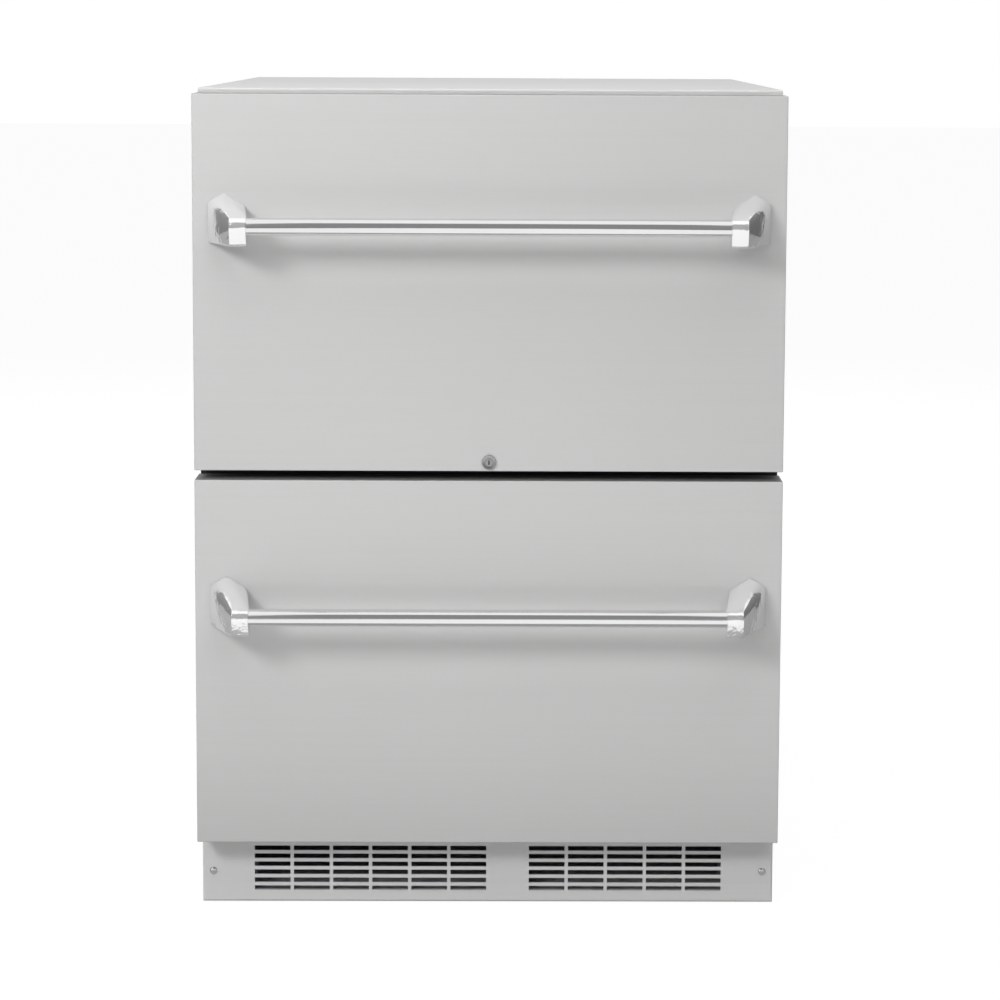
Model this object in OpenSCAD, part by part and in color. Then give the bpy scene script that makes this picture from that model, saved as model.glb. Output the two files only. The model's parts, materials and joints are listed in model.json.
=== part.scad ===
// Undercounter refrigerator with two drawers: stainless fronts, bar handles and a vented toe grille.
// Millimetres. The front faces -Y, Z is up, and the origin is on the floor under the centre.

/* [Cabinet] */
// Width across the side panels
cabinet_w = 604; // [560:1:700]
// Height from the floor to the top panel
overall_h = 864; // [830:1:900]
// Depth from the top panel's front lip to the back panel
cabinet_d = 560; // [530:1:640]
// Height of the underside above the floor
floor_clear = 14; // [13:1:18]
// Foam and liner in the side walls, from the outer face to the cavity
side_wall = 39; // [33:1:45]
// Foam and liner above the cavity
top_wall = 38; // [34:1:46]
// Foam and liner behind the cavity
back_wall = 45; // [38:1:60]
// Foam under the cavity and round the machine bay
floor_foam = 36; // [26:1:37]

/* [Sheet metal] */
// Thickness of the outer sheet metal
sheet_t = 1.2; // [0.8:0.1:1.8]
// Outside radius of a bend
bend_r = 2.6; // [2:0.1:4]
// Width of a folded edge
flange_w = 16; // [12:1:20]
// Thickness of the face frame
frame_t = 1.5; // [1:0.1:2]
// Thickness of the moulded liner
liner_t = 1.6; // [1:0.1:2.5]
// Radius of the cavity's rear corners
liner_r = 14; // [4:1:20]

/* [Drawer fronts] */
// Thickness of a drawer front
front_t = 34; // [28:1:40]
// How far a front stands past the cabinet on each side
front_overhang = 1; // [0:0.5:3]
// Gap between the top panel's height and the upper front
front_top_gap = 5; // [3:0.5:10]
// Gap between the two fronts
front_gap = 10; // [6:0.5:14]
// Height of the lower front
lower_front_h = 383; // [360:1:400]
// Height of the lower front's bottom edge above the floor
front_bottom_z = 79; // [74:1:90]
// Thickness of the panel that closes the back of a front
inner_panel_t = 3; // [2:0.5:4]
// Thickness of the raised pad on the inner panel
pad_t = 6; // [4:0.5:6.5]

/* [Gaskets] */
// Width of a gasket
gasket_w = 14; // [10:0.5:18]
// Thickness of a closed gasket
gasket_t = 6.9; // [5:0.1:9]
// Air left between a closed gasket and the face frame
gasket_clear = 0.3; // [0.2:0.05:0.6]
// Distance of a gasket from the front's edge
gasket_inset = 16.5; // [16:0.5:20]
// Width of face frame left inside a gasket
frame_reveal = 2; // [1:0.5:4]

/* [Handles] */
// Diameter of the bar
bar_d = 17.5; // [14:0.5:22]
// Wall of the bar's tube
bar_wall = 1.5; // [1:0.1:3]
// Distance of the bar's axis from the front
bar_standoff = 50; // [42:1:60]
// Distance of the bar's axis below the front's top edge
bar_drop = 131; // [80:1:200]
// Distance of a bracket from the front's side edge
bracket_inset = 15; // [8:1:40]
// Length of a bracket's foot along the bar
foot_l = 39; // [34:1:50]
// Height of the foot above the bar's axis at its peak
foot_rise = 30; // [24:1:40]
// Distance that the bracket reaches below the bar's axis
foot_drop = 20; // [14:1:26]
// Length of the collar round the end of the bar
collar_l = 18; // [14:1:26]
// Distance of the collar's outer end from the bracket's outer edge
collar_inset = 27; // [20:1:34]
// Wall of the collar above the bar
collar_wall = 1.1; // [0.8:0.1:3]
// Depth of the socket that the bar sits in
socket_l = 14; // [8:1:17]
// Diameter of the studs that hold a bracket
bracket_stud_d = 6; // [4:0.5:8]

/* [Lock] */
// Height of the lock's axis above the upper front's bottom edge
lock_rise = 9.5; // [9:0.5:12]
// Diameter of the lock's ring
lock_ring_d = 15; // [14:0.5:17]
// Diameter of the lock's barrel
lock_barrel_d = 12; // [11:0.5:14]
// Diameter of the plug that the key turns
lock_plug_d = 8; // [6:0.5:9]
// Length of the cam from its axis to its tip
cam_l = 14; // [13:0.5:16]

/* [Toe grille] */
// Distance of the grille behind the drawer fronts
toe_setback = 32.3; // [26:0.1:36]
// Gap under the grille
toe_floor_gap = 2.5; // [1:0.5:6]
// Gap between the grille and the lower front
toe_top_gap = 5; // [4:0.5:8]
// Width of one slot
slot_w = 37.9; // [24:0.1:40]
// Height of one slot
slot_h = 5.1; // [3:0.1:6.5]
// Distance from slot to slot across
slot_pitch_x = 41.45; // [41:0.05:44]
// Distance from slot to slot up
slot_pitch_z = 8.7; // [7:0.1:9]
// Rows of slots
slot_rows = 6; // [1:1:6]
// Slots across in the left group
slots_left = 6; // [1:1:6]
// Slots across in the right group
slots_right = 5; // [1:1:5]
// Distance from the grille's end to its first slot
slot_margin = 55; // [50:0.5:60]
// Height of the lowest row's middle above the floor
slot_first_z = 17.6; // [15:0.1:19]
// Height of the grille screws above the floor
grille_screw_z = 36.3; // [25:0.1:50]
// Distance of the grille screws from the grille's ends
grille_screw_inset = 11.4; // [9:0.1:16]
// Diameter of the grille screws' heads
grille_screw_d = 8.6; // [6:0.1:10]

/* [Ball slides] */
// Height of a slide
slide_h = 45; // [43:0.5:52]
// Thickness of a slide
slide_t = 12.7; // [12.7:0.1:14]
// Sheet that the slide members are rolled from
slide_sheet = 1.2; // [1:0.1:1.4]
// Diameter of the balls
ball_d = 4; // [3.6:0.1:4.2]
// Air between a ball and its race
race_clear = 0.1; // [0.05:0.01:0.15]
// Slides are made in steps of this length
slide_step = 10; // [5:5:50]
// Distance from the face frame to the slides
slide_setback = 12; // [6:1:20]
// Height of the slides above the drawer's floor
slide_rise = 100; // [60:1:130]
// Balls in one row of a cage
cage_balls = 8; // [4:1:10]

/* [Drawer boxes] */
// Sheet of the drawer boxes
box_sheet = 1; // [0.8:0.1:1.5]
// Gap under a drawer box
box_floor_gap = 12; // [8:1:20]
// Air above a drawer box
box_head_gap = 76; // [60:1:140]
// Air between the upper box and the evaporator cover
upper_box_gap = 35; // [25:1:120]
// Air between the lower box and the wall of the machine bay
lower_box_gap = 26; // [15:1:90]
// Radius of a box's upright corners
box_corner_r = 12; // [8:1:13]
// Width of the hem round a box's rim
rim_w = 8; // [5:1:12]
// Width of a drain slot in a box
drain_slot_w = 7; // [4:1:10]
// Length of a drain slot in a box
drain_slot_l = 46; // [30:1:60]

/* [Machine bay] */
// Depth of the machine bay at the back
bay_d = 195; // [185:1:215]
// Height of the machine bay's ceiling above the floor
bay_top_z = 235; // [225:1:250]
// Distance of the rear cover from the back panel's plane
cover_recess = 10; // [9:1:16]
// Diameter of the compressor's can
compressor_d = 144; // [110:1:150]
// Height of the compressor's can
compressor_h = 150; // [120:1:160]
// Diameter of the condenser fan
cond_fan_d = 150; // [110:1:160]
// Thickness of the condenser
condenser_t = 30; // [28:1:34]
// Width of a louvre in the rear cover
louvre_w = 90; // [60:1:110]
// Distance that a louvre's hood stands out
louvre_out = 4; // [2:0.5:7]

/* [Cold air] */
// Width of the evaporator cover
evap_w = 380; // [300:1:440]
// Height of the evaporator cover
evap_h = 230; // [180:1:260]
// Thickness of the evaporator cover
evap_t = 55; // [50:1:60]
// Diameter of the circulation fan
evap_fan_d = 92; // [80:1:110]
// Wall of the moulded covers
cover_wall = 2; // [1.5:0.1:3]

/* [Controls] */
// Width of the thermostat housing
control_w = 200; // [160:1:260]
// Height of the thermostat housing
control_h = 34; // [34:1:44]
// Depth of the thermostat housing
control_d = 90; // [60:1:120]
// Diameter of the thermostat knob
knob_d = 28; // [20:1:32]

/* [Levelling legs] */
// Diameter of a leg's pad
leg_pad_d = 32; // [24:1:40]
// Diameter of a leg's stem
leg_stem_d = 10; // [8:0.5:12]
// Distance of a leg from the cabinet's side
leg_inset = 45; // [35:1:60]
// How far a leg screws out
leg_travel = 20; // [5:1:22]

/* [Hidden] */
$fn = 40;

// Cuts run this far past the faces that they open
over = 1;

// Depth planes, from front to back
handle_reach = bar_standoff + bar_d / 2 + collar_wall;
gasket_room = gasket_t + gasket_clear;
cab_from_face = front_t + gasket_room - sheet_t;
y_face = handle_reach - (handle_reach + cab_from_face + cabinet_d) / 2;
y_slab_back = y_face + front_t;
y_cab = y_face + cab_from_face;
y_frame = y_cab + sheet_t;
y_frame_back = y_frame + frame_t;
y_back = y_cab + cabinet_d;
y_toe = y_face + toe_setback;
y_cavity_back = y_back - back_wall;
y_bay = y_back - bay_d;
y_cover = y_back - cover_recess;
y_inner_back = y_back - 2 * sheet_t - bend_r;
y_evap = y_cavity_back - evap_t;

// Widths
half_cabinet = cabinet_w / 2;
half_front = half_cabinet + front_overhang;
half_cavity = half_cabinet - side_wall;
half_inside = half_cabinet - sheet_t;

// Heights
upper_front_top = overall_h - front_top_gap;
lower_front_top = front_bottom_z + lower_front_h;
upper_front_z = lower_front_top + front_gap;
upper_front_h = upper_front_top - upper_front_z;
gasket_edge = gasket_inset + gasket_w + frame_reveal;
cavity_z0 = front_bottom_z + gasket_edge;
cavity_z1 = overall_h - top_wall;
mullion_z0 = lower_front_top - gasket_edge;
mullion_z1 = upper_front_z + gasket_edge;
plenum_z = cavity_z0 - liner_t - floor_foam;
toe_top_z = front_bottom_z - toe_top_gap;
top_under_z = overall_h - sheet_t;
hump_z = bay_top_z + sheet_t + floor_foam + liner_t;
y_hump = y_bay - sheet_t - floor_foam - liner_t;

// Handle places
upper_bar_z = upper_front_top - bar_drop;
lower_bar_z = lower_front_top - bar_drop;
bracket_x = half_front - bracket_inset;
collar_x1 = bracket_x - collar_inset;
collar_x0 = collar_x1 - collar_l;
bar_fit = 0.05;
stud_fit = 0.3;
bracket_stud_x = bracket_x - foot_l / 2;
bracket_stud_dz = foot_drop / 2;
nut_h = 5;

// Lock places
lock_z = upper_front_z + lock_rise;
lock_fit = 0.05;
ring_proud = 2;
cam_t = 1.5;
cam_gap = 0.8;
cam_w = 8;
y_cam = y_slab_back + cam_gap + 1.4;

// Slide section: u runs from the liner to the box, v runs up from the slide's middle
race_r = ball_d / 2 + race_clear;
row_gap = 2.1;
outer_u = 6;
outer_v = slide_h / 2 - slide_sheet - race_r;
inner_u = 6.6;
inner_v = outer_v - 2 * race_r - row_gap;
middle_web_u = 3;
middle_flange_u = 9.6;
inner_flange_u = 5;
inner_flange_t = 3;
cage_t = 0.5;
member_gap = 1;

// Drawer boxes and slides
half_box = half_cavity - slide_t;
y_pad = y_slab_back + pad_t;
upper_floor_z = mullion_z1 + box_floor_gap;
lower_floor_z = cavity_z0 + box_floor_gap;
y_slide = y_frame + slide_setback;
upper_slide_z = upper_floor_z + slide_rise;
lower_slide_z = lower_floor_z + slide_rise;
upper_box_h = cavity_z1 - box_head_gap - upper_floor_z;
lower_box_h = mullion_z0 - box_head_gap - lower_floor_z;
upper_box_d = y_evap - upper_box_gap - y_pad;
lower_box_d = y_hump - lower_box_gap - y_pad;
upper_slide_l = slide_length(upper_box_d);
lower_slide_l = slide_length(lower_box_d);

// Longest slide of a whole number of steps that ends before the back of its box
function slide_length(box_d) = slide_step * floor((y_pad + box_d - y_slide) / slide_step);

// Legs and base
pad_h = 6;
hex_h = 5;
leg_fit = 0.08;
boss_h = 14;
boss_wall = 4;
base_t = 1.5;
base_rim_h = 25;
leg_x = half_cabinet - leg_inset;
leg_ys = [y_frame + leg_inset, y_back - leg_inset];
stem_top_z = floor_clear + base_t + boss_h + leg_travel;

// Toe grille
grille_hole_d = 5;
grille_shank_d = 4;
ear_w = 20;
ear_gap = 0.5;
ear_h = 36;
group_right_w = (slots_right - 1) * slot_pitch_x + slot_w;

// Machine bay
bay_x_gap = 20;
compressor_side_gap = 35;
compressor_x = half_inside - compressor_side_gap - compressor_d / 2;
compressor_y = y_bay + compressor_d / 2 + 6;
foot_reach = 13;
foot_hole_d = 8;
foot_plate_t = 3;
mount_base_d = 22;
mount_top_d = 16;
terminal_w = 52;
terminal_d = 34;
terminal_h = 60;
terminal_rise = 50;
line_d = 8;
line_r = 2 * line_d;
line_y = compressor_d / 4;
line_z = compressor_h * 0.7;
line_stub_l = 12;
coil_tube_d = 8;
condenser_rows = 8;
mount_h = 14;
mount_fit = 0.2;
compressor_z = floor_clear + base_t + mount_h;
condenser_w = 230;
condenser_x = -half_inside + bay_x_gap + condenser_w / 2;
condenser_z = floor_clear + base_t;
condenser_h = 190;
y_condenser = y_bay + 4;
y_cond_fan = y_condenser + condenser_t;
cond_fan_z = condenser_z + condenser_h / 2;
fan_tip_gap = 3;
shaft_fit = 0.05;
cond_rotor_h = 20;
cond_hub_d = 40;
cond_shaft_d = 6;
cond_motor_d = 44;
condenser_pitch = condenser_h / condenser_rows;
coil_y = [y_condenser + condenser_t * 0.27, y_condenser + condenser_t * 0.73];
coil_z = condenser_z + condenser_pitch / 2;
evap_rotor_h = 14;
evap_hub_d = 34;
evap_shaft_d = 4;
evap_motor_d = 24;
evap_frame_rim = 8;
evap_frame_w = evap_fan_d + 2 * evap_frame_rim;

// Cord gland in the rear cover
gland_d = 16;
gland_inset = 98;
gland_z = floor_clear + base_rim_h + gland_d;
gland_x = half_inside - gland_inset;

// Evaporator
evap_top_gap = 60;
evap_z = cavity_z1 - evap_top_gap - evap_h;
evap_mid_z = evap_z + evap_h / 2;
evap_coil_inset = 30;
evap_coil_t = 22;
evap_rows = 5;
return_slot_w = 28;

// Controls
y_control = y_frame + 26;
knob_reach = 12;
knob_z = cavity_z1 - control_h / 2;
knob_inset = 36;
knob_x = -control_w / 2 + knob_inset;
knob_shaft_d = 8;

// ---------- shapes that are used by several pieces ----------

module block(low, high) {
    translate(low) cube(high - low);
}

// A copy of the children on each side of the middle plane
module both_sides() {
    for (side = [0, 1]) mirror([side, 0, 0]) children();
}

// Rectangle centred on x = 0 with its front edge on y = 0 and all corners rounded
module round_rect(w, d, r) {
    translate([-w / 2 + r, 0]) square([w - 2 * r, d]);
    translate([-w / 2, r]) square([w, d - 2 * r]);
    for (x = [-w / 2 + r, w / 2 - r], y = [r, d - r]) translate([x, y]) circle(r);
}

// Rectangle whose two front corners are rounded
module nosed_rect(w, d, r) {
    translate([-w / 2 + r, 0]) square([w - 2 * r, d]);
    translate([-w / 2, r]) square([w, d - r]);
    for (x = [-w / 2 + r, w / 2 - r]) translate([x, r]) circle(r);
}

// Bent channel: a web of width w along x, with two arms of length arm along y
module channel(w, arm, t, r) {
    difference() {
        nosed_rect(w, arm, r);
        translate([0, t]) nosed_rect(w - 2 * t, arm, r - t);
    }
}

// Solid whose front face has bent edges on all four sides
module nosed_block(w, d, h, r) {
    intersection() {
        linear_extrude(h) nosed_rect(w, d, r);
        translate([-w / 2, 0, h / 2]) rotate([90, 0, 90]) linear_extrude(w)
            rotate(-90) nosed_rect(h, d, r);
    }
}

// What a round of radius r takes off a corner that points to +x and +y
module corner_cut(r) {
    difference() {
        translate([-r, -r]) square(r + over);
        translate([-r, -r]) circle(r);
    }
}

// Rod along Y that starts at the given point
module y_rod(x, y, z, d, l) {
    translate([x, y, z]) rotate([-90, 0, 0]) cylinder(d = d, h = l);
}

// Slot with round ends, its long side along x, centred
module round_slot(l, w) {
    square([l - w, w], center = true);
    for (x = [-(l - w) / 2, (l - w) / 2]) translate([x, 0]) circle(d = w);
}

// Hexagonal prism of the given width across its flats
module hex(flats, h) {
    cylinder(d = flats / cos(30), h = h, $fn = 6);
}

// Blades and hub of an axial fan that turns about Z, on its own shaft bore
module fan_rotor(d, hub_d, h, blades, bore_d) {
    blade_t = 1.6;
    bow_r = d / 2.6;
    blade_tilt = 32;
    difference() {
        union() {
            cylinder(d = hub_d, h = h);
            intersection() {
                cylinder(d = d, h = h);
                for (i = [0 : blades - 1]) rotate([0, 0, i * 360 / blades])
                    translate([hub_d / 2 - 2, 0, h / 2]) rotate([blade_tilt, 0, 0])
                        translate([0, 0, -bow_r])
                            fan_blade_sheet(bow_r, blade_t, d / 2 - hub_d / 2 + 2);
            }
        }
        translate([0, 0, -over]) cylinder(d = bore_d, h = h - 3 + over);
    }
}

// Cambered strip: part of a tube that lies along x
module fan_blade_sheet(bow_r, t, l) {
    half_chord = bow_r * 0.32;
    rotate([90, 0, 90]) linear_extrude(l) difference() {
        circle(bow_r);
        circle(bow_r - t);
        translate([-bow_r - over, -bow_r - over]) square([2 * bow_r + 2 * over, bow_r + over]);
        for (side = [-1, 1]) translate([side * (bow_r + half_chord), 0]) square(2 * bow_r, center = true);
    }
}

// Rings and spokes over a fan's opening, in the XY plane
module fan_guard(d, t) {
    hub_r = 10;
    ring_gap = 10;
    ring_w = 2;
    linear_extrude(t) {
        circle(hub_r);
        for (i = [1 : floor((d / 2 - hub_r) / ring_gap)]) tube_outline(2 * (hub_r + i * ring_gap), ring_w);
        for (turn = [0, 60, 120]) rotate(turn) square([d + 2 * ring_w, ring_w + 1], center = true);
    }
}

// Level tubes along x, joined in rows by bends at alternate ends, with the first row on z = 0
module serpentine(w, rows, pitch, d) {
    for (j = [0 : rows - 1]) translate([-w / 2, 0, j * pitch]) rotate([0, 90, 0]) cylinder(d = d, h = w);
    for (j = [0 : rows - 2]) mirror([(j + 1) % 2, 0, 0]) translate([w / 2, 0, (j + 0.5) * pitch])
        rotate([90, 0, 0]) tube_bend(pitch / 2, d, 180, -90);
}

// Bent tube in the XY plane, through an angle from a start angle
module tube_bend(r, d, turn, start) {
    rotate(start) rotate_extrude(angle = turn) translate([r, 0]) circle(d = d);
}

// ---------- cabinet shell ----------

module top_panel() {
    color("silver") {
        translate([-half_cabinet, y_cab, overall_h - flange_w]) rotate([90, 0, 90])
            linear_extrude(cabinet_w) {
                square([sheet_t, flange_w - bend_r]);
                translate([bend_r, flange_w - sheet_t]) square([cabinet_d - bend_r, sheet_t]);
                intersection() {
                    translate([bend_r, flange_w - bend_r]) difference() {
                        circle(bend_r);
                        circle(bend_r - sheet_t);
                    }
                    translate([0, flange_w - bend_r]) square(bend_r);
                }
            }
    }
}

module side_panel() {
    web_d = y_back - sheet_t - y_frame_back;
    color("silver")
        translate([half_cabinet, y_frame_back + web_d / 2, floor_clear])
            linear_extrude(top_under_z - floor_clear) rotate(90) channel(web_d, flange_w, sheet_t, bend_r);
}

module left_side_panel() {
    mirror([1, 0, 0]) side_panel();
}

module right_side_panel() {
    side_panel();
}

module back_panel() {
    rib_w = 30;
    rib_gap = 120;
    color("lightsteelblue") difference() {
        block([-half_cabinet, y_back - sheet_t, bay_top_z + sheet_t],
              [half_cabinet, y_back, top_under_z]);
        // shallow swages that stiffen the sheet
        for (x = [-rib_gap, 0, rib_gap])
            block([x - rib_w / 2, y_back - sheet_t / 2, hump_z + flange_w],
                  [x + rib_w / 2, y_back + over, top_under_z - 3 * flange_w]);
    }
}

// Black ring behind the fronts, with one opening for each drawer
module face_frame() {
    color("#181818") difference() {
        block([-half_cabinet, y_frame, toe_top_z + sheet_t],
              [half_cabinet, y_frame_back, top_under_z - (bend_r - sheet_t)]);
        block([-half_cavity, y_frame - over, cavity_z0], [half_cavity, y_frame_back + over, mullion_z0]);
        block([-half_cavity, y_frame - over, mullion_z1], [half_cavity, y_frame_back + over, cavity_z1]);
    }
}

// Insulated cross rail behind the face frame
module mullion() {
    depth = 38;
    wall = 1.5;
    color("#202020") difference() {
        block([-half_cavity, y_frame_back, mullion_z0], [half_cavity, y_frame_back + depth, mullion_z1]);
        block([-half_cavity + wall, y_frame_back + wall, mullion_z0 + wall],
              [half_cavity - wall, y_frame_back + depth - wall, mullion_z1 - wall]);
    }
}

// Outline of the cavity in the YZ plane, grown outwards by t, with its rear corners rounded
module cavity_outline(t) {
    difference() {
        union() {
            translate([y_frame_back, hump_z - t])
                square([y_cavity_back + t - y_frame_back, cavity_z1 + t - hump_z + t]);
            translate([y_frame_back, cavity_z0 - t])
                square([y_hump + t - y_frame_back, cavity_z1 - cavity_z0]);
        }
        translate([y_cavity_back + t, cavity_z1 + t]) corner_cut(liner_r + t);
        translate([y_cavity_back + t, hump_z - t]) mirror([0, 1]) corner_cut(liner_r + t);
        translate([y_hump + t, cavity_z0 - t]) mirror([0, 1]) corner_cut(liner_r + t);
    }
}

module cavity_solid(t) {
    translate([-half_cavity - t, 0, 0]) rotate([90, 0, 90]) linear_extrude(2 * (half_cavity + t))
        cavity_outline(t);
}

module inner_liner() {
    lip = half_cabinet - flange_w - ear_gap;
    color("whitesmoke") difference() {
        union() {
            cavity_solid(liner_t);
            block([-lip, y_frame_back, toe_top_z + flange_w],
                  [lip, y_frame_back + liner_t, top_under_z - ear_gap]);
        }
        translate([0, -over, 0]) cavity_solid(0);
        cavity_solid(0);
    }
}

module insulation() {
    y0 = y_frame_back + liner_t;
    color("khaki") difference() {
        block([-half_inside, y0, plenum_z], [half_inside, y_back - sheet_t, top_under_z]);
        cavity_solid(liner_t);
        // machine bay
        block([-half_cabinet, y_bay - sheet_t, plenum_z - over],
              [half_cabinet, y_back, bay_top_z + sheet_t]);
        // folded edges of the side panels
        both_sides() block([half_cabinet - flange_w, y_back - 2 * sheet_t - ear_gap, 0],
                           [half_cabinet, y_back, overall_h]);
        both_sides() for (y = [y0 - over, y_back - 2 * sheet_t - bend_r])
            block([half_inside - bend_r, y, 0], [half_cabinet, y + bend_r + over, overall_h]);
    }
}

// Sheet that closes the foam over the air path and round the machine bay
module bay_liner() {
    color("gainsboro") {
        block([-half_inside, y_frame_back + flange_w / 2, plenum_z - sheet_t],
              [half_inside, y_bay, plenum_z]);
        block([-half_inside, y_bay - sheet_t, plenum_z - sheet_t], [half_inside, y_bay, bay_top_z]);
        block([-half_inside, y_bay - sheet_t, bay_top_z],
              [half_inside, y_inner_back, bay_top_z + sheet_t]);
    }
}

module base_pan() {
    rim = base_rim_h + floor_clear;
    y0 = y_toe + sheet_t;
    y_arm = y_frame_back + sheet_t + ear_gap;
    arm_x = half_cabinet - flange_w - ear_gap;
    color("darkgray") difference() {
        union() {
            block([-half_inside + ear_gap, y_arm, floor_clear],
                  [half_inside - ear_gap, y_inner_back, floor_clear + base_t]);
            block([-arm_x, y0, floor_clear], [arm_x, y_arm + over, floor_clear + base_t]);
            both_sides() {
                block([half_inside - ear_gap - base_t, y_frame_back + flange_w / 2, floor_clear],
                      [half_inside - ear_gap, y_inner_back, rim]);
                // ear that the toe grille is screwed to
                block([half_inside - bend_r - ear_w, y0, floor_clear],
                      [half_inside - bend_r, y0 + base_t, floor_clear + ear_h]);
                for (y = leg_ys) translate([leg_x, y, floor_clear + base_t])
                    cylinder(d = leg_stem_d + 2 * boss_wall, h = boss_h);
            }
            // wall that keeps the two air streams apart
            block([bay_x_gap - base_t, y0 + flange_w, floor_clear], [bay_x_gap, y_bay, plenum_z - sheet_t]);
        }
        both_sides() {
            for (y = leg_ys) translate([leg_x, y, floor_clear - over])
                cylinder(d = leg_stem_d + 2 * leg_fit, h = base_t + boss_h + 2 * over);
            y_rod(half_cabinet - grille_screw_inset, y0 - over, grille_screw_z,
                  grille_shank_d, base_t + 2 * over);
        }
    }
}

// Louvred sheet that closes the machine bay at the back
module machine_cover() {
    louvre_pitch_x = 135;
    louvre_pitch = 12;
    margin = 20;
    z0 = floor_clear + base_rim_h + margin;
    z1 = bay_top_z - ear_gap - margin;
    half_w = half_inside - 2 * ear_gap - base_t;
    columns = floor(2 * half_w / louvre_pitch_x);
    places = [
        for (i = [0 : columns - 1], z = [z0 : louvre_pitch : z1])
            let (x = (i - (columns - 1) / 2) * louvre_pitch_x)
                if (abs(x - gland_x) > louvre_w / 2 + gland_d || z > gland_z + gland_d) [x, y_cover, z]
    ];
    color("darkgray") difference() {
        union() {
            block([-half_w, y_cover - sheet_t, floor_clear + base_t], [half_w, y_cover, bay_top_z - ear_gap]);
            for (p = places) translate(p) louvre_hood(louvre_pitch * 0.6);
        }
        for (p = places) translate(p) louvre_throat(louvre_pitch * 0.6);
        y_rod(gland_x, y_cover - sheet_t - over, gland_z, gland_d, sheet_t + 2 * over);
    }
}

// Pressed hood of a louvre of height h, which slopes out to an open lower edge
module louvre_hood(h) {
    translate([-louvre_w / 2, 0, 0]) rotate([90, 0, 90]) linear_extrude(louvre_w)
        polygon([[-sheet_t, 0], [louvre_out, 0], [0, h], [-sheet_t, h]]);
}

// What is open inside a louvre's hood and through the sheet behind it
module louvre_throat(h) {
    slope = h / louvre_out;
    top = h - sheet_t * sqrt(1 + slope * slope);
    half_l = louvre_w / 2 - sheet_t;
    translate([-half_l, 0, 0]) rotate([90, 0, 90]) linear_extrude(2 * half_l) polygon([
        [-sheet_t - over, 0], [0, 0], [0, -over], [(top + over) / slope, -over], [0, top], [-sheet_t - over, top]
    ]);
}

// Strain relief that the supply cord leaves by
module cord_gland() {
    bore = 8;
    color("black") translate([gland_x, y_cover, gland_z]) rotate([90, 0, 0]) difference() {
        union() {
            translate([0, 0, -6]) cylinder(d = gland_d + 6, h = 6);
            cylinder(d = gland_d - 2 * ear_gap, h = sheet_t + 6);
            translate([0, 0, sheet_t]) cylinder(d = gland_d + 5, h = 4);
        }
        translate([0, 0, -6 - over]) cylinder(d = bore, h = sheet_t + 12 + 2 * over);
    }
}

// ---------- toe grille ----------

module slot_group(x0, columns) {
    for (i = [0 : columns - 1], j = [0 : slot_rows - 1])
        translate([x0 + i * slot_pitch_x, slot_first_z - slot_h / 2 + j * slot_pitch_z])
            square([slot_w, slot_h]);
}

module toe_grille() {
    h = toe_top_z - toe_floor_gap;
    depth = y_frame - y_toe;
    color("silver") difference() {
        translate([0, y_toe, toe_floor_gap]) difference() {
            nosed_block(cabinet_w, depth, h, bend_r);
            translate([0, sheet_t, sheet_t])
                nosed_block(cabinet_w - 2 * sheet_t, depth, h - 2 * sheet_t, bend_r - sheet_t);
            // the bottom edge is left open behind the bend
            block([-half_cabinet + sheet_t, bend_r + sheet_t, -over],
                  [half_cabinet - sheet_t, depth + over, sheet_t + over]);
        }
        translate([0, y_toe + sheet_t + over, 0]) rotate([90, 0, 0])
            linear_extrude(sheet_t + 2 * over) {
                slot_group(-half_cabinet + slot_margin, slots_left);
                slot_group(half_cabinet - slot_margin - group_right_w, slots_right);
            }
        both_sides() y_rod(half_cabinet - grille_screw_inset, y_toe - over, grille_screw_z,
                           grille_hole_d, sheet_t + 2 * over);
    }
}

module grille_screws() {
    dome = grille_screw_d / 4;
    color("gainsboro") both_sides() translate([half_cabinet - grille_screw_inset, y_toe, grille_screw_z])
        rotate([90, 0, 0]) difference() {
            union() {
                translate([0, 0, -10]) cylinder(d = grille_shank_d, h = 10);
                cylinder(d = grille_screw_d, h = dome / 2);
                translate([0, 0, dome / 2]) cylinder(d1 = grille_screw_d, d2 = grille_screw_d * 0.6, h = dome / 2);
            }
            for (turn = [0, 90]) rotate([0, 0, turn])
                translate([0, 0, dome]) cube([grille_screw_d * 0.5, 1, dome], center = true);
        }
}

// ---------- levelling legs ----------

module leg(x, y) {
    color("dimgray") translate([x, y, 0]) {
        cylinder(d = leg_pad_d, h = pad_h / 2);
        translate([0, 0, pad_h / 2]) cylinder(d1 = leg_pad_d, d2 = leg_pad_d * 0.6, h = pad_h / 2);
        translate([0, 0, pad_h]) hex(leg_stem_d * 1.6, hex_h);
        cylinder(d = leg_stem_d, h = stem_top_z);
    }
}

module leg_front_left() {
    leg(-leg_x, leg_ys[0]);
}

module leg_front_right() {
    leg(leg_x, leg_ys[0]);
}

module leg_rear_left() {
    leg(-leg_x, leg_ys[1]);
}

module leg_rear_right() {
    leg(leg_x, leg_ys[1]);
}

// ---------- drawer fronts ----------

// A hole for each stud of both brackets
module stud_holes(z, d, y, l) {
    both_sides() for (dz = [-bracket_stud_dz, bracket_stud_dz])
        y_rod(bracket_stud_x, y, z + dz, d, l);
}

// Stainless pan with bent edges, open at the back
module front_skin(z, h, bar_z) {
    color("silver") difference() {
        translate([0, y_face, z]) difference() {
            nosed_block(2 * half_front, front_t, h, bend_r);
            translate([0, sheet_t, sheet_t])
                nosed_block(2 * (half_front - sheet_t), front_t, h - 2 * sheet_t, bend_r - sheet_t);
        }
        stud_holes(bar_z, bracket_stud_d + 2 * stud_fit, y_face - over, sheet_t + 2 * over);
    }
}

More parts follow.
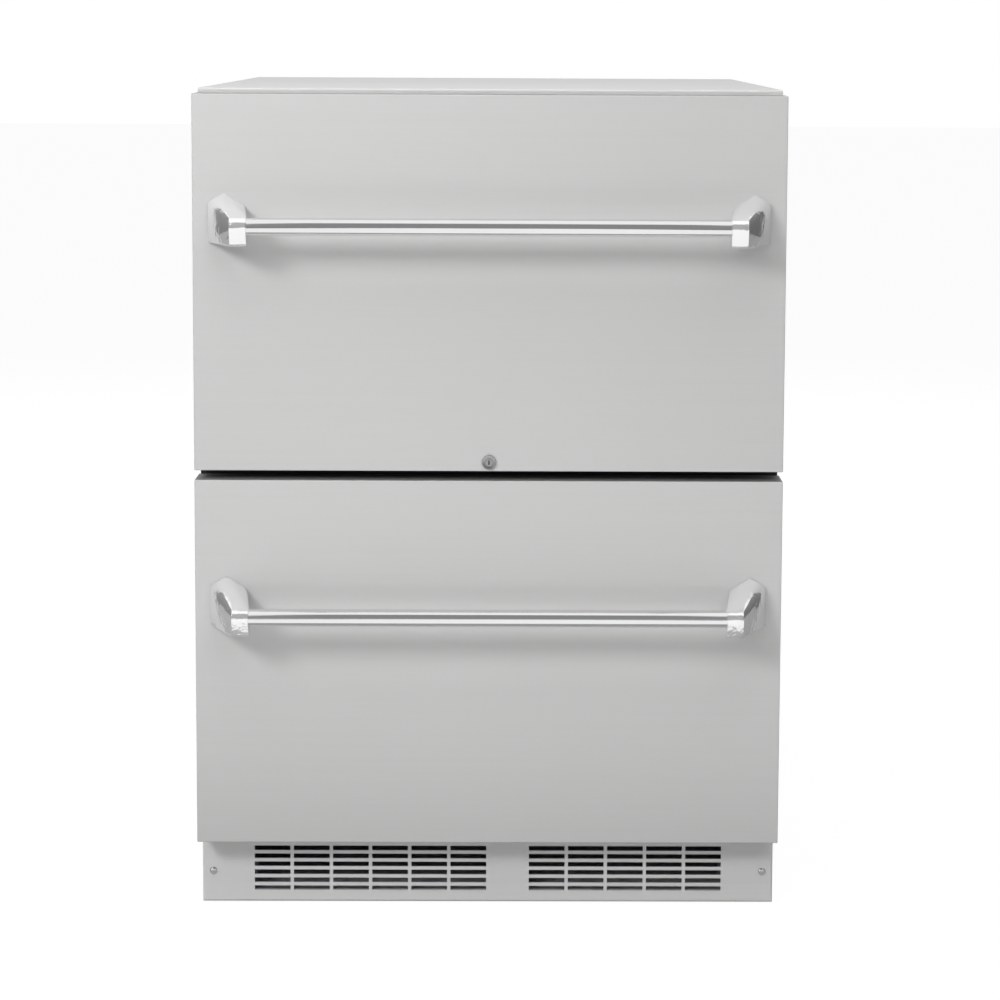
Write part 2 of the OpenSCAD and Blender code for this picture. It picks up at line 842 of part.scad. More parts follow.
module front_foam(z, h, bar_z) {
    color("khaki") difference() {
        translate([0, y_face + sheet_t, z + sheet_t])
            nosed_block(2 * (half_front - sheet_t), front_t - sheet_t - inner_panel_t,
                        h - 2 * sheet_t, bend_r - sheet_t);
        stud_holes(bar_z, 2.2 * bracket_stud_d, y_face, sheet_t + nut_h + 2);
    }
}

// Panel that closes a front, with a raised pad that stands in the opening
module inner_panel(z, h, open_z0, open_z1) {
    pad_gap = 4;
    pad_r = 10;
    side = half_front - sheet_t;
    color("whitesmoke") {
        block([-side, y_slab_back - inner_panel_t, z + sheet_t], [side, y_slab_back, z + h - sheet_t]);
        translate([0, y_pad, open_z0 + pad_gap]) rotate([90, 0, 0]) linear_extrude(pad_t)
            round_rect(2 * (half_cavity - pad_gap), open_z1 - open_z0 - 2 * pad_gap, pad_r);
    }
}

// Round hole for the lock, from y back over length l
module lock_hole(y, l, d) {
    y_rod(0, y, lock_z, d, l);
}

module upper_front_skin() {
    color("silver") difference() {
        front_skin(upper_front_z, upper_front_h, upper_bar_z);
        lock_hole(y_face - over, sheet_t + 2 * over, lock_barrel_d + 2 * stud_fit);
    }
}

module upper_front_foam() {
    color("khaki") difference() {
        front_foam(upper_front_z, upper_front_h, upper_bar_z);
        lock_hole(y_face - over, front_t + 2 * over, lock_barrel_d);
    }
}

module upper_inner_panel() {
    color("whitesmoke") difference() {
        inner_panel(upper_front_z, upper_front_h, mullion_z1, cavity_z1);
        lock_hole(y_slab_back - inner_panel_t - over, inner_panel_t + 2 * over, lock_barrel_d);
    }
}

// Square ring: outer edge at the given half width and heights, width w
module ring_block(half_w, z0, z1, w, y0, y1) {
    difference() {
        block([-half_w, y0, z0], [half_w, y1, z1]);
        block([-half_w + w, y0 - over, z0 + w], [half_w - w, y1 + over, z1 - w]);
    }
}

// Magnetic gasket: a base strip, a narrow bellows and a wide lip
module gasket(z, h) {
    base = 2;
    waist = gasket_w / 5;
    color("#303030") {
        ring_block(half_front - gasket_inset, z + gasket_inset, z + h - gasket_inset, gasket_w,
                   y_slab_back, y_slab_back + base);
        ring_block(half_front - gasket_inset - waist, z + gasket_inset + waist,
                   z + h - gasket_inset - waist, gasket_w - 2 * waist,
                   y_slab_back + base, y_slab_back + 2 * base);
        ring_block(half_front - gasket_inset, z + gasket_inset, z + h - gasket_inset, gasket_w,
                   y_slab_back + 2 * base, y_slab_back + gasket_t);
    }
}

module handle_bar(z) {
    half_l = collar_x0 + socket_l - bar_fit;
    color("gainsboro") translate([-half_l, y_face - bar_standoff, z]) rotate([0, 90, 0]) difference() {
        cylinder(d = bar_d, h = 2 * half_l);
        translate([0, 0, -over]) cylinder(d = bar_d - 2 * bar_wall, h = 2 * half_l + 2 * over);
    }
}

// Cast bracket: a many-sided foot on the front, drawn out to a collar round the bar
module handle_bracket(z) {
    foot_t = 3;
    collar_r = bar_d / 2 + collar_wall;
    in_x = bracket_x - foot_l;
    y_bar = y_face - bar_standoff;
    corner = foot_rise / 5;
    color("gainsboro") difference() {
        hull() {
            translate([0, y_face, z]) rotate([90, 0, 0]) linear_extrude(foot_t) polygon([
                [bracket_x, -foot_drop], [bracket_x, foot_rise - 2 * corner + 2],
                [bracket_x - corner, foot_rise - corner + 0.5],
                [bracket_x - 3 * corner + 1.5, foot_rise],
                [in_x, foot_rise / 2 + 1.5], [in_x, -foot_drop]
            ]);
            translate([collar_x0, y_bar, z]) rotate([0, 90, 0]) cylinder(r = collar_r, h = collar_l);
            // skirt under the collar
            translate([collar_x0, y_bar + collar_wall, z - foot_drop + corner]) rotate([0, 90, 0])
                cylinder(r = corner, h = collar_l);
        }
        translate([collar_x0 - over, y_bar, z]) rotate([0, 90, 0])
            cylinder(d = bar_d + 2 * bar_fit, h = socket_l + over);
    }
    // studs that reach through the skin
    color("gainsboro") for (dz = [-bracket_stud_dz, bracket_stud_dz])
        y_rod(bracket_stud_x, y_face, z + dz, bracket_stud_d, sheet_t + nut_h + 1);
}

module handle_brackets(z) {
    both_sides() {
        handle_bracket(z);
        bracket_nuts(z);
    }
}

// Nuts behind the skin, on the bracket's studs
module bracket_nuts(z) {
    color("dimgray") for (dz = [-bracket_stud_dz, bracket_stud_dz])
        translate([bracket_stud_x, y_face + sheet_t, z + dz]) rotate([-90, 0, 0]) difference() {
            hex(1.67 * bracket_stud_d, nut_h);
            translate([0, 0, -over]) cylinder(d = bracket_stud_d, h = nut_h + 2 * over);
        }
}

// ---------- drawer boxes ----------

// Rows of slots in a sheet of width w and height h, both centred
module slot_field(w, h, columns, rows) {
    for (i = [0 : columns - 1], j = [0 : rows - 1])
        translate([(i + 0.5) * w / columns - w / 2, (j + 0.5) * h / rows - h / 2])
            round_slot(drain_slot_l, drain_slot_w);
}

// Bin with rounded corners, a hem turned inwards round its rim, and slots that let cold air through
module drawer_box(z, depth, h) {
    margin = 30;
    over_h = h + over;
    mouth_r = max(box_corner_r - rim_w, 2);
    color("lightgray") translate([0, y_pad, z]) difference() {
        linear_extrude(h) round_rect(2 * half_box, depth, box_corner_r);
        translate([0, box_sheet, box_sheet]) linear_extrude(h - 2 * box_sheet)
            round_rect(2 * (half_box - box_sheet), depth - 2 * box_sheet, box_corner_r - box_sheet);
        translate([0, rim_w, h / 2]) linear_extrude(over_h / 2 + over)
            round_rect(2 * (half_box - rim_w), depth - 2 * rim_w, mouth_r);
        translate([0, depth / 2, -over]) linear_extrude(box_sheet + 2 * over)
            slot_field(2 * (half_box - margin), depth - 2 * margin, 6, 5);
        translate([0, depth + over, h / 2 + margin]) rotate([90, 0, 0]) linear_extrude(box_sheet + 2 * over)
            slot_field(2 * (half_box - margin), 2 * margin, 6, 3);
    }
}

// ---------- ball slides ----------

// Puts a section drawn in (u, v) on the right-hand slide, running back from y over length l
module on_slide(y, z, l) {
    both_sides() translate([half_cavity, y + l, z]) rotate([90, 0, 0]) mirror([1, 0, 0])
        linear_extrude(l) children();
}

module mirrored_v() {
    children();
    mirror([0, 1]) children();
}

// Cabinet member: a web whose edges curl round the outer row of balls
module outer_member_section() {
    out_r = race_r + slide_sheet;
    translate([0, -slide_h / 2]) square([slide_sheet, slide_h]);
    mirrored_v() {
        translate([0, outer_v + race_r]) square([outer_u, slide_sheet]);
        translate([outer_u, outer_v]) intersection() {
            difference() {
                circle(out_r);
                circle(race_r);
            }
            translate([0, -race_r / 4]) square(2 * out_r);
        }
    }
}

// Middle member: grooved outside for the outer balls and inside for the inner balls
module middle_member_section() {
    v0 = inner_v + member_gap;
    v1 = outer_v - member_gap;
    translate([middle_web_u, -v1]) square([slide_sheet, 2 * v1]);
    mirrored_v() difference() {
        translate([middle_web_u, v0]) square([middle_flange_u - middle_web_u, v1 - v0]);
        translate([outer_u, outer_v]) circle(race_r);
        translate([inner_u, inner_v]) circle(race_r);
    }
}

// Drawer member: a web against the box and two grooved edges
module inner_member_section() {
    v1 = inner_v - member_gap;
    translate([slide_t - slide_sheet, -v1]) square([slide_sheet, 2 * v1]);
    mirrored_v() difference() {
        translate([inner_flange_u, v1 - inner_flange_t])
            square([slide_t - inner_flange_u, inner_flange_t]);
        translate([inner_u, inner_v]) circle(race_r);
    }
}

// Bent strip that carries one pair of ball rows
module cage_section(web_u, row_u, row_v) {
    reach = row_u + ball_d / 2 - 0.4;
    translate([web_u, -row_v]) square([cage_t, 2 * row_v]);
    mirrored_v() translate([web_u, row_v - cage_t / 2]) square([reach - web_u, cage_t]);
}

module ball_cage(y, z, l, web_u, row_u, row_v) {
    cage_l = l * 0.4;
    pitch = (cage_l - 3 * ball_d) / (cage_balls - 1);
    y0 = y + (l - cage_l) / 2;
    on_slide(y0, z, cage_l) cage_section(web_u, row_u, row_v);
    both_sides() for (i = [0 : cage_balls - 1], v = [-row_v, row_v])
        translate([half_cavity - row_u, y0 + 1.5 * ball_d + i * pitch, z + v]) rotate([90, 0, 0])
            sphere(d = ball_d);
}

// Slots that a rail is screwed through, in a web at u from the liner
module rail_slots(z, l, u) {
    slot_l = 12;
    end_gap = 30;
    for (i = [0 : 2]) both_sides()
        translate([half_cavity - u + over, y_slide + end_gap + i * (l - 2 * end_gap) / 2, z])
            rotate([0, -90, 0]) rotate(90) linear_extrude(slide_sheet + 2 * over) round_slot(slot_l, slot_l / 2);
}

module outer_rails(z, l) {
    color("silver") difference() {
        on_slide(y_slide, z, l) outer_member_section();
        rail_slots(z, l, 0);
    }
}

module middle_rails(z, l) {
    color("gainsboro") on_slide(y_slide, z, l) middle_member_section();
}

module inner_rails(z, l) {
    color("silver") difference() {
        on_slide(y_slide, z, l) inner_member_section();
        rail_slots(z, l, slide_t - slide_sheet);
    }
}

module outer_cages(z, l) {
    color("goldenrod") ball_cage(y_slide, z, l, 1.7, outer_u, outer_v);
}

module inner_cages(z, l) {
    color("goldenrod") ball_cage(y_slide, z, l, middle_web_u + slide_sheet + 0.2, inner_u, inner_v);
}

// ---------- lock ----------

module lock_barrel() {
    color("gainsboro") difference() {
        union() {
            y_rod(0, y_face - ring_proud, lock_z, lock_ring_d, ring_proud);
            y_rod(0, y_face, lock_z, lock_barrel_d, front_t);
        }
        y_rod(0, y_face - ring_proud - over, lock_z, lock_plug_d + 2 * lock_fit,
              front_t + ring_proud + 2 * over);
        // dished face of the ring
        translate([0, y_face - ring_proud, lock_z]) rotate([-90, 0, 0])
            cylinder(d1 = lock_ring_d - 2, d2 = lock_plug_d + 2, h = 0.8);
    }
}

module lock_plug() {
    color("silver") difference() {
        y_rod(0, y_face - ring_proud + 0.4, lock_z, lock_plug_d,
              y_cam + cam_t - y_face + ring_proud - 0.4);
        // keyway
        block([-0.6, y_face - ring_proud - over, lock_z - lock_plug_d * 0.3],
              [0.6, y_face + 12, lock_z + lock_plug_d * 0.3]);
        // flats that drive the cam
        for (side = [-1, 1]) translate([0, y_cam + 5, lock_z + side * lock_plug_d * 0.8])
            cube([2 * lock_plug_d, 10, lock_plug_d], center = true);
    }
}

module lock_cam() {
    color("silver") difference() {
        union() {
            y_rod(0, y_cam, lock_z, cam_w * 1.3, cam_t);
            block([0, y_cam, lock_z - cam_w / 2], [cam_l - cam_w / 2, y_cam + cam_t, lock_z + cam_w / 2]);
            y_rod(cam_l - cam_w / 2, y_cam, lock_z, cam_w, cam_t);
        }
        intersection() {
            y_rod(0, y_cam - over, lock_z, lock_plug_d, cam_t + 2 * over);
            block([-lock_plug_d, y_cam - over, lock_z - lock_plug_d * 0.3],
                  [lock_plug_d, y_cam + cam_t + over, lock_z + lock_plug_d * 0.3]);
        }
    }
}

// Hook welded to the face frame, which the turned cam reaches behind
module lock_keeper() {
    t = 1.2;
    half_w = 20;
    plate_h = 12;
    lip_gap = 0.5;
    shelf_z = lock_z - cam_l - 3;
    lip_top = lock_z - cam_w / 2 - 2;
    y_lip = y_slab_back + lip_gap;
    color("silver") {
        block([-half_w, y_frame - t, shelf_z - plate_h], [half_w, y_frame, shelf_z]);
        block([-half_w, y_lip, shelf_z - t], [half_w, y_frame, shelf_z]);
        block([-half_w, y_lip, shelf_z - t], [half_w, y_lip + t, lip_top]);
    }
}

// ---------- machine bay ----------

module compressor() {
    r = compressor_d / 2;
    shell = 3;
    seam_z = compressor_h * 0.45;
    terminal_out = 14;
    color("#222222") translate([compressor_x, compressor_y, compressor_z]) difference() {
        union() {
            rotate_extrude() compressor_profile(r, compressor_h);
            translate([0, 0, seam_z]) cylinder(r = r + 2.5, h = 4);
            // foot plate
            linear_extrude(foot_plate_t) difference() {
                square([2 * (r + foot_reach), compressor_d * 0.72], center = true);
                mount_places() circle(d = foot_hole_d);
            }
            // terminal cover
            block([-r - terminal_out, -terminal_w / 2, terminal_rise],
                  [-r - terminal_out + terminal_d, terminal_w / 2, terminal_rise + terminal_h]);
            // stubs that the discharge and suction lines are brazed to
            for (y = [-line_y, line_y]) translate([-r - line_stub_l, y, line_z]) rotate([0, 90, 0])
                cylinder(d = line_d + 2, h = line_stub_l + 10);
        }
        rotate_extrude() compressor_cavity(r - shell, compressor_h - shell, 3 + shell);
    }
}

// The four rubber mounts under the compressor's foot plate
module mount_places() {
    for (x = [-1, 1], y = [-1, 1])
        translate([x * (compressor_d / 2 + foot_reach - foot_hole_d), y * compressor_d * 0.28]) children();
}

module compressor_profile(r, h) {
    shoulder = h * 0.24;
    square([r, h - shoulder]);
    square([r - shoulder, h]);
    translate([r - shoulder, h - shoulder]) circle(shoulder);
}

module compressor_cavity(r, h, z0) {
    oil_room = 12;
    translate([0, z0]) square([r, h - z0 - 2 * oil_room]);
}

module compressor_mounts() {
    color("black") translate([compressor_x, compressor_y, floor_clear + base_t]) mount_places() {
        cylinder(d1 = mount_base_d, d2 = mount_top_d, h = mount_h);
        cylinder(d = foot_hole_d - 2 * mount_fit, h = mount_h + 2 * foot_plate_t);
    }
}

// Two layers of finned tubes, joined by a bend between their lowest rows
module condenser() {
    fin_t = 0.8;
    fin_pitch = 9;
    color("#2a2a2a") {
        for (i = [0 : floor(condenser_w / fin_pitch)])
            translate([condenser_x - condenser_w / 2 + i * fin_pitch, y_condenser, condenser_z])
                cube([fin_t, condenser_t, condenser_h]);
        for (y = coil_y) translate([condenser_x, y, coil_z])
            serpentine(condenser_w, condenser_rows, condenser_pitch, coil_tube_d);
        translate([condenser_x + condenser_w / 2, (coil_y[0] + coil_y[1]) / 2, coil_z])
            tube_bend((coil_y[1] - coil_y[0]) / 2, coil_tube_d, 180, -90);
    }
}

// Square fan frame with a round duct, four struts and a motor with its shaft, blowing along Z
module fan_frame(size, duct_d, depth, motor_d, shaft_d, shaft_l) {
    wall = 2;
    plate = 3;
    strut_w = 6;
    linear_extrude(plate) difference() {
        square(size, center = true);
        circle(d = duct_d);
    }
    translate([0, 0, plate]) linear_extrude(depth - 2 * plate) tube_outline(duct_d, wall);
    translate([0, 0, depth - plate]) linear_extrude(plate) {
        tube_outline(duct_d, wall);
        circle(d = motor_d);
        intersection() {
            circle(d = duct_d + wall);
            for (turn = [45, 135]) rotate(turn) square([2 * duct_d, strut_w], center = true);
        }
    }
    translate([0, 0, depth]) cylinder(d = motor_d, h = motor_d * 0.6 - plate);
    translate([0, 0, depth - plate - shaft_l]) cylinder(d = shaft_d, h = shaft_l);
}

module tube_outline(d, wall) {
    difference() {
        circle(d = d + 2 * wall);
        circle(d = d);
    }
}

module condenser_fan_frame() {
    color("#303030") translate([condenser_x, y_cond_fan, cond_fan_z]) rotate([-90, 0, 0])
        fan_frame(condenser_h, cond_fan_d + 2 * fan_tip_gap, cond_rotor_h + 8, cond_motor_d,
                  cond_shaft_d, cond_rotor_h - 3);
}

module condenser_fan_rotor() {
    color("dimgray") translate([condenser_x, y_cond_fan + 2.5, cond_fan_z]) rotate([-90, 0, 0])
        fan_rotor_on_shaft(cond_fan_d, cond_hub_d, cond_rotor_h, 5, cond_shaft_d + 2 * shaft_fit);
}

// The rotor's blind bore opens towards the motor
module fan_rotor_on_shaft(d, hub_d, h, blades, bore_d) {
    translate([0, 0, h]) mirror([0, 0, 1]) fan_rotor(d, hub_d, h, blades, bore_d);
}

module drain_pan() {
    w = compressor_d;
    wall = 2;
    z0 = compressor_z + compressor_h;
    h = bay_top_z - z0 - 6;
    color("#404040") translate([compressor_x, compressor_y, z0]) difference() {
        translate([-w / 2, -w / 2, 0]) cube([w, w, h]);
        translate([-w / 2 + wall, -w / 2 + wall, wall]) cube([w - 2 * wall, w - 2 * wall, h]);
    }
}

// Copper lines: compressor to condenser, condenser through the drier to the ceiling, ceiling to compressor
module refrigerant_lines() {
    x0 = compressor_x - compressor_d / 2 - line_stub_l;
    x1 = condenser_x + condenser_w / 2;
    z0 = compressor_z + line_z;
    z1 = coil_z + (condenser_rows - 1) * condenser_pitch;
    color("#b5651d") {
        discharge_line(x0, compressor_y + line_y, z0, x1, coil_y[0], z1);
        liquid_line(x1, coil_y[1], z1);
        // suction line
        line_run([x0 - line_r, compressor_y - line_y, z0 + line_r], [0, 0, 0], bay_top_z - z0 - line_r);
        translate([x0, compressor_y - line_y, z0 + line_r]) rotate([90, 0, 0]) line_bend(180);
    }
}

// From the compressor at (x0, y0, z0) along, forward and up to the condenser at (x1, y1, z1)
module discharge_line(x0, y0, z0, x1, y1, z1) {
    mid = x1 + 4 * line_r;
    line_run([x0, y0, z0], [0, -90, 0], x0 - mid - line_r);
    translate([mid + line_r, y0 - line_r, z0]) line_bend(90);
    line_run([mid, y0 - line_r, z0], [90, 0, 0], y0 - y1 - 2 * line_r);
    translate([mid - line_r, y1 + line_r, z0]) line_bend(-90);
    translate([mid - line_r, y1, z0 + line_r]) rotate([90, 0, 0]) line_bend(180);
    line_run([mid - 2 * line_r, y1, z0 + line_r], [0, 0, 0], z1 - z0 - 2 * line_r);
    translate([mid - 3 * line_r, y1, z1 - line_r]) rotate([90, 0, 0]) line_bend(0);
    line_run([mid - 3 * line_r, y1, z1], [0, -90, 0], mid - 3 * line_r - x1);
}

// Filter drier and the thin tube from it to the bay's ceiling
module liquid_line(x1, y1, z1) {
    drier_d = 18;
    drier_l = 60;
    lead = 10;
    neck = 6;
    thin_d = 4;
    line_run([x1, y1, z1], [0, 90, 0], lead);
    translate([x1 + lead, y1, z1]) rotate([0, 90, 0]) {
        cylinder(d1 = line_d, d2 = drier_d, h = neck);
        translate([0, 0, neck]) cylinder(d = drier_d, h = drier_l);
        translate([0, 0, neck + drier_l]) cylinder(d1 = drier_d, d2 = thin_d, h = neck);
    }
    x2 = x1 + lead + 2 * neck + drier_l;
    translate([x2, y1, z1 + line_r]) rotate([90, 0, 0]) tube_bend(line_r, thin_d, 90, -90);
    translate([x2 + line_r, y1, z1 + line_r]) cylinder(d = thin_d, h = bay_top_z - z1 - line_r);
}

// Straight tube from a point, upright unless it is turned
module line_run(start, turn, l) {
    translate(start) rotate(turn) cylinder(d = line_d, h = l);
}

module line_bend(start) {
    tube_bend(line_r, line_d, 90, start);
}

// ---------- cold air ----------

module evaporator_cover() {
    wall = cover_wall;
    fan_d = evap_fan_d + 2 * fan_tip_gap;
    slots = 7;
    color("white") difference() {
        block([-evap_w / 2, y_evap, evap_z], [evap_w / 2, y_cavity_back, evap_z + evap_h]);
        block([-evap_w / 2 + wall, y_evap + wall, evap_z + wall],
              [evap_w / 2 - wall, y_cavity_back + over, evap_z + evap_h - wall]);
        y_rod(0, y_evap - over, evap_mid_z, fan_d, wall + 2 * over);
        // air slots on both sides of the fan
        both_sides() for (j = [0 : slots - 1])
            translate([evap_w * 0.34, y_evap + wall + over, evap_z + (j + 1) * evap_h / (slots + 1)])
                rotate([90, 0, 0]) linear_extrude(wall + 2 * over) round_slot(evap_w * 0.2, 8);
        // return air along the lower edge
        for (x = [-3 : 3]) translate([x * evap_w / 8, (y_evap + y_cavity_back) / 2, evap_z - over])
            linear_extrude(wall + 2 * over) square([return_slot_w, evap_t * 0.6], center = true);
    }
    color("white") translate([0, y_evap, evap_mid_z]) rotate([-90, 0, 0]) fan_guard(fan_d, wall);
}

module evaporator() {
    fin_t = 1;
    fin_pitch = 12;
    w = evap_w - 2 * evap_coil_inset;
    h = evap_h - 2 * evap_coil_inset;
    fins = floor(w / fin_pitch);
    tube_l = fins * fin_pitch + fin_t;
    row_pitch = h / evap_rows;
    z0 = evap_mid_z - h / 2;
    y0 = y_cavity_back - evap_coil_t;
    color("lightsteelblue") {
        for (i = [0 : fins]) translate([-w / 2 + i * fin_pitch, y0, z0]) cube([fin_t, evap_coil_t, h]);
        translate([-w / 2 + tube_l / 2, y0 + evap_coil_t / 2, z0 + row_pitch / 2])
            serpentine(tube_l, evap_rows, row_pitch, coil_tube_d);
    }
}

module circulation_fan_frame() {
    color("#303030") translate([0, y_evap + cover_wall, evap_mid_z]) rotate([-90, 0, 0])
        fan_frame(evap_frame_w, evap_fan_d + 2 * fan_tip_gap, evap_rotor_h + 5, evap_motor_d,
                  evap_shaft_d, evap_rotor_h - 3);
}

module circulation_fan_rotor() {
    color("#202020") translate([0, y_evap + cover_wall + 1.2, evap_mid_z]) rotate([-90, 0, 0])
        fan_rotor_on_shaft(evap_fan_d, evap_hub_d, evap_rotor_h, 7, evap_shaft_d + 2 * shaft_fit);
}

// ---------- controls ----------

module thermostat_housing() {
    wall = cover_wall;
    z0 = cavity_z1 - control_h;
    y1 = y_control + control_d;
    color("white") difference() {
        translate([0, y_control, z0]) nosed_block(control_w, control_d, control_h, 6);
        block([-control_w / 2 + wall, y_control + wall, z0 + wall],
              [control_w / 2 - wall, y1 - wall, cavity_z1 + over]);
        y_rod(knob_x, y_control - over, knob_z, knob_shaft_d + 2 * shaft_fit, wall + 2 * over);
        light_window(z0 - over, 2 * over + wall, 0);
    }
}

module light_window(z, h, gap) {
    translate([control_w / 8, y_control + control_d / 2, z]) linear_extrude(h)
        round_slot(control_w * 0.5 - 2 * gap, control_d * 0.4 - 2 * gap);
}

module light_lens() {
    z0 = cavity_z1 - control_h;
    color("#f4f4ea") {
        light_window(z0, cover_wall, 0.1);
        translate([0, 0, z0 + cover_wall]) light_window(0, 2, -2);
    }
}

module thermostat_knob() {
    color("#303030") translate([knob_x, y_control - 0.4, knob_z]) rotate([90, 0, 0]) {
        difference() {
            cylinder(d = knob_d, h = knob_reach);
            for (i = [0 : 11]) rotate([0, 0, i * 30]) translate([knob_d / 2 + 1, 0, -over])
                cylinder(d = 4, h = knob_reach - 2 + over);
            // pointer groove
            translate([0, knob_d / 4, knob_reach]) cube([1.6, knob_d / 4, 1.2], center = true);
        }
        translate([0, 0, -14]) cylinder(d = knob_shaft_d, h = 14);
    }
}

// ---------- the pieces ----------

top_panel();
left_side_panel();
right_side_panel();
back_panel();
face_frame();
mullion();
inner_liner();
insulation();
bay_liner();
base_pan();
machine_cover();
toe_grille();
grille_screws();
lock_keeper();
leg_front_left();
leg_front_right();
leg_rear_left();
leg_rear_right();
compressor();
compressor_mounts();
condenser();
condenser_fan_frame();
condenser_fan_rotor();
drain_pan();
refrigerant_lines();
cord_gland();
evaporator();
evaporator_cover();
circulation_fan_frame();
circulation_fan_rotor();
thermostat_housing();
thermostat_knob();
light_lens();
outer_rails(upper_slide_z, upper_slide_l);  // upper_outer_rails
middle_rails(upper_slide_z, upper_slide_l);  // upper_middle_rails
inner_rails(upper_slide_z, upper_slide_l);  // upper_inner_rails
outer_cages(upper_slide_z, upper_slide_l);  // upper_outer_cages
inner_cages(upper_slide_z, upper_slide_l);  // upper_inner_cages
outer_rails(lower_slide_z, lower_slide_l);  // lower_outer_rails
middle_rails(lower_slide_z, lower_slide_l);  // lower_middle_rails
inner_rails(lower_slide_z, lower_slide_l);  // lower_inner_rails
outer_cages(lower_slide_z, lower_slide_l);  // lower_outer_cages
inner_cages(lower_slide_z, lower_slide_l);  // lower_inner_cages
upper_front_skin();
upper_front_foam();
upper_inner_panel();
gasket(upper_front_z, upper_front_h);  // upper_gasket
drawer_box(upper_floor_z, upper_box_d, upper_box_h);  // upper_box
handle_bar(upper_bar_z);  // upper_handle_bar
handle_brackets(upper_bar_z);  // upper_handle_brackets
front_skin(front_bottom_z, lower_front_h, lower_bar_z);  // lower_front_skin
front_foam(front_bottom_z, lower_front_h, lower_bar_z);  // lower_front_foam
inner_panel(front_bottom_z, lower_front_h, cavity_z0, mullion_z0);  // lower_inner_panel
gasket(front_bottom_z, lower_front_h);  // lower_gasket
drawer_box(lower_floor_z, lower_box_d, lower_box_h);  // lower_box
handle_bar(lower_bar_z);  // lower_handle_bar
handle_brackets(lower_bar_z);  // lower_handle_brackets
lock_barrel();
lock_plug();
lock_cam();
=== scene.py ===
"""Finishes the two-drawer undercounter refrigerator: brushed steel fronts, polished handles and small trim.

It is laid out as an add-on and run as a script. Lengths are metres, in the same frame as the solids: the
front faces -Y and the floor is Z = 0.
"""

import json
import math

import bmesh
import bpy
from bpy.props import FloatProperty, FloatVectorProperty, PointerProperty
from bpy.types import Operator, Panel, PropertyGroup
from mathutils import Matrix, Vector


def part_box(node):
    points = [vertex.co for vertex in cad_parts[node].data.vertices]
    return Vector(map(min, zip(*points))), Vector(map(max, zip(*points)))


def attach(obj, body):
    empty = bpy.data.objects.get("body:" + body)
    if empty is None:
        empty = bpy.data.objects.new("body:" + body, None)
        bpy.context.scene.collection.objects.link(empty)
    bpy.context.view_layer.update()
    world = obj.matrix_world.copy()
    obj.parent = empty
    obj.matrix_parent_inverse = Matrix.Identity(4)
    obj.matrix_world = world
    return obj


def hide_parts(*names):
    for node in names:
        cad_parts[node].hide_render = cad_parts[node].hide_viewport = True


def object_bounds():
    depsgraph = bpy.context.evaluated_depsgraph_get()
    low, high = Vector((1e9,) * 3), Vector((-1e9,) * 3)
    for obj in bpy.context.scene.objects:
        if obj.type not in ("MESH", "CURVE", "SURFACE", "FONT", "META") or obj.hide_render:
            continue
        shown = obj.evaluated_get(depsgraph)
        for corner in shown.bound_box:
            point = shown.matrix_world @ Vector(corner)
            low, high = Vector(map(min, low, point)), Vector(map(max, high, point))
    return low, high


bl_info = {
    "name": "Undercounter drawer refrigerator",
    "version": (1, 0, 0),
    "blender": (4, 5, 0),
    "location": "3D View > Sidebar > Refrigerator",
    "description": "Steel, trim and studio for a two-drawer undercounter refrigerator",
    "category": "Object",
}

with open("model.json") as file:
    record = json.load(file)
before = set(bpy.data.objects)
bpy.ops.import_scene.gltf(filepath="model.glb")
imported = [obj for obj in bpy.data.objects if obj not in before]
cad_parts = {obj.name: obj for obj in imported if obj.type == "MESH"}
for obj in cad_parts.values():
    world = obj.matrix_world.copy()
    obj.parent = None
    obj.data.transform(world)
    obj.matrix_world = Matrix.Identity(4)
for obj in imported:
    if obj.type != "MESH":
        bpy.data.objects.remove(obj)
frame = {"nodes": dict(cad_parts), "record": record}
NODES = frame["nodes"]
SOLID_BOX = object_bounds()
DRAWERS = ("upper", "lower")
X, Y, Z = (Vector(axis) for axis in ((1, 0, 0), (0, 1, 0), (0, 0, 1)))
QUARTER = math.pi / 2
BODY_OF = {n: body for body, nodes in frame["record"]["behaviour"]["bodies"].items() for n in nodes}
SLOT_OF = {part["node"]: part["material_slot"] for part in frame["record"]["subparts"]}


def length(name, text, default, low, high):
    """A length in metres that the sidebar shows in the scene's units."""
    return FloatProperty(name=name, description=text, default=default, min=low, max=high, subtype="DISTANCE",
                         unit="LENGTH", precision=4)


def colour(name, text, default):
    """A surface colour."""
    return FloatVectorProperty(name=name, description=text, default=default, min=0, max=1, size=3,
                               subtype="COLOR")


def share(name, text, default):
    """A number from 0 to 1."""
    return FloatProperty(name=name, description=text, default=default, min=0, max=1, subtype="FACTOR")


def power(name, text, default):
    """A lamp's power in watts."""
    return FloatProperty(name=name, description=text, default=default, min=0, max=500, unit="POWER")


def box_size(node):
    """The size of a solid along X, Y and Z."""
    low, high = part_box(node)
    return high - low


# ---------- what a user would change ----------


class SteelSettings(PropertyGroup):
    """Colours and grain of the metal surfaces."""

    front: colour("Fronts", "Brushed steel of the fronts, top and toe grille", (0.66, 0.66, 0.655))
    front_roughness: share("Front roughness", "How soft the brushed steel's reflections are", 0.56)
    grain: length("Grain", "Distance between two strokes of the brushing", 0.0006, 0.0001, 0.01)
    grain_depth: share("Grain depth", "How strongly the brushing shows", 0.35)
    polished: colour("Handles", "Polished metal of the handles and the lock", (0.86, 0.86, 0.865))
    zinc: colour("Zinc", "Zinc-plated slides and legs", (0.62, 0.63, 0.64))
    galvanised: colour("Galvanised", "Sheet of the back and the base", (0.50, 0.52, 0.54))


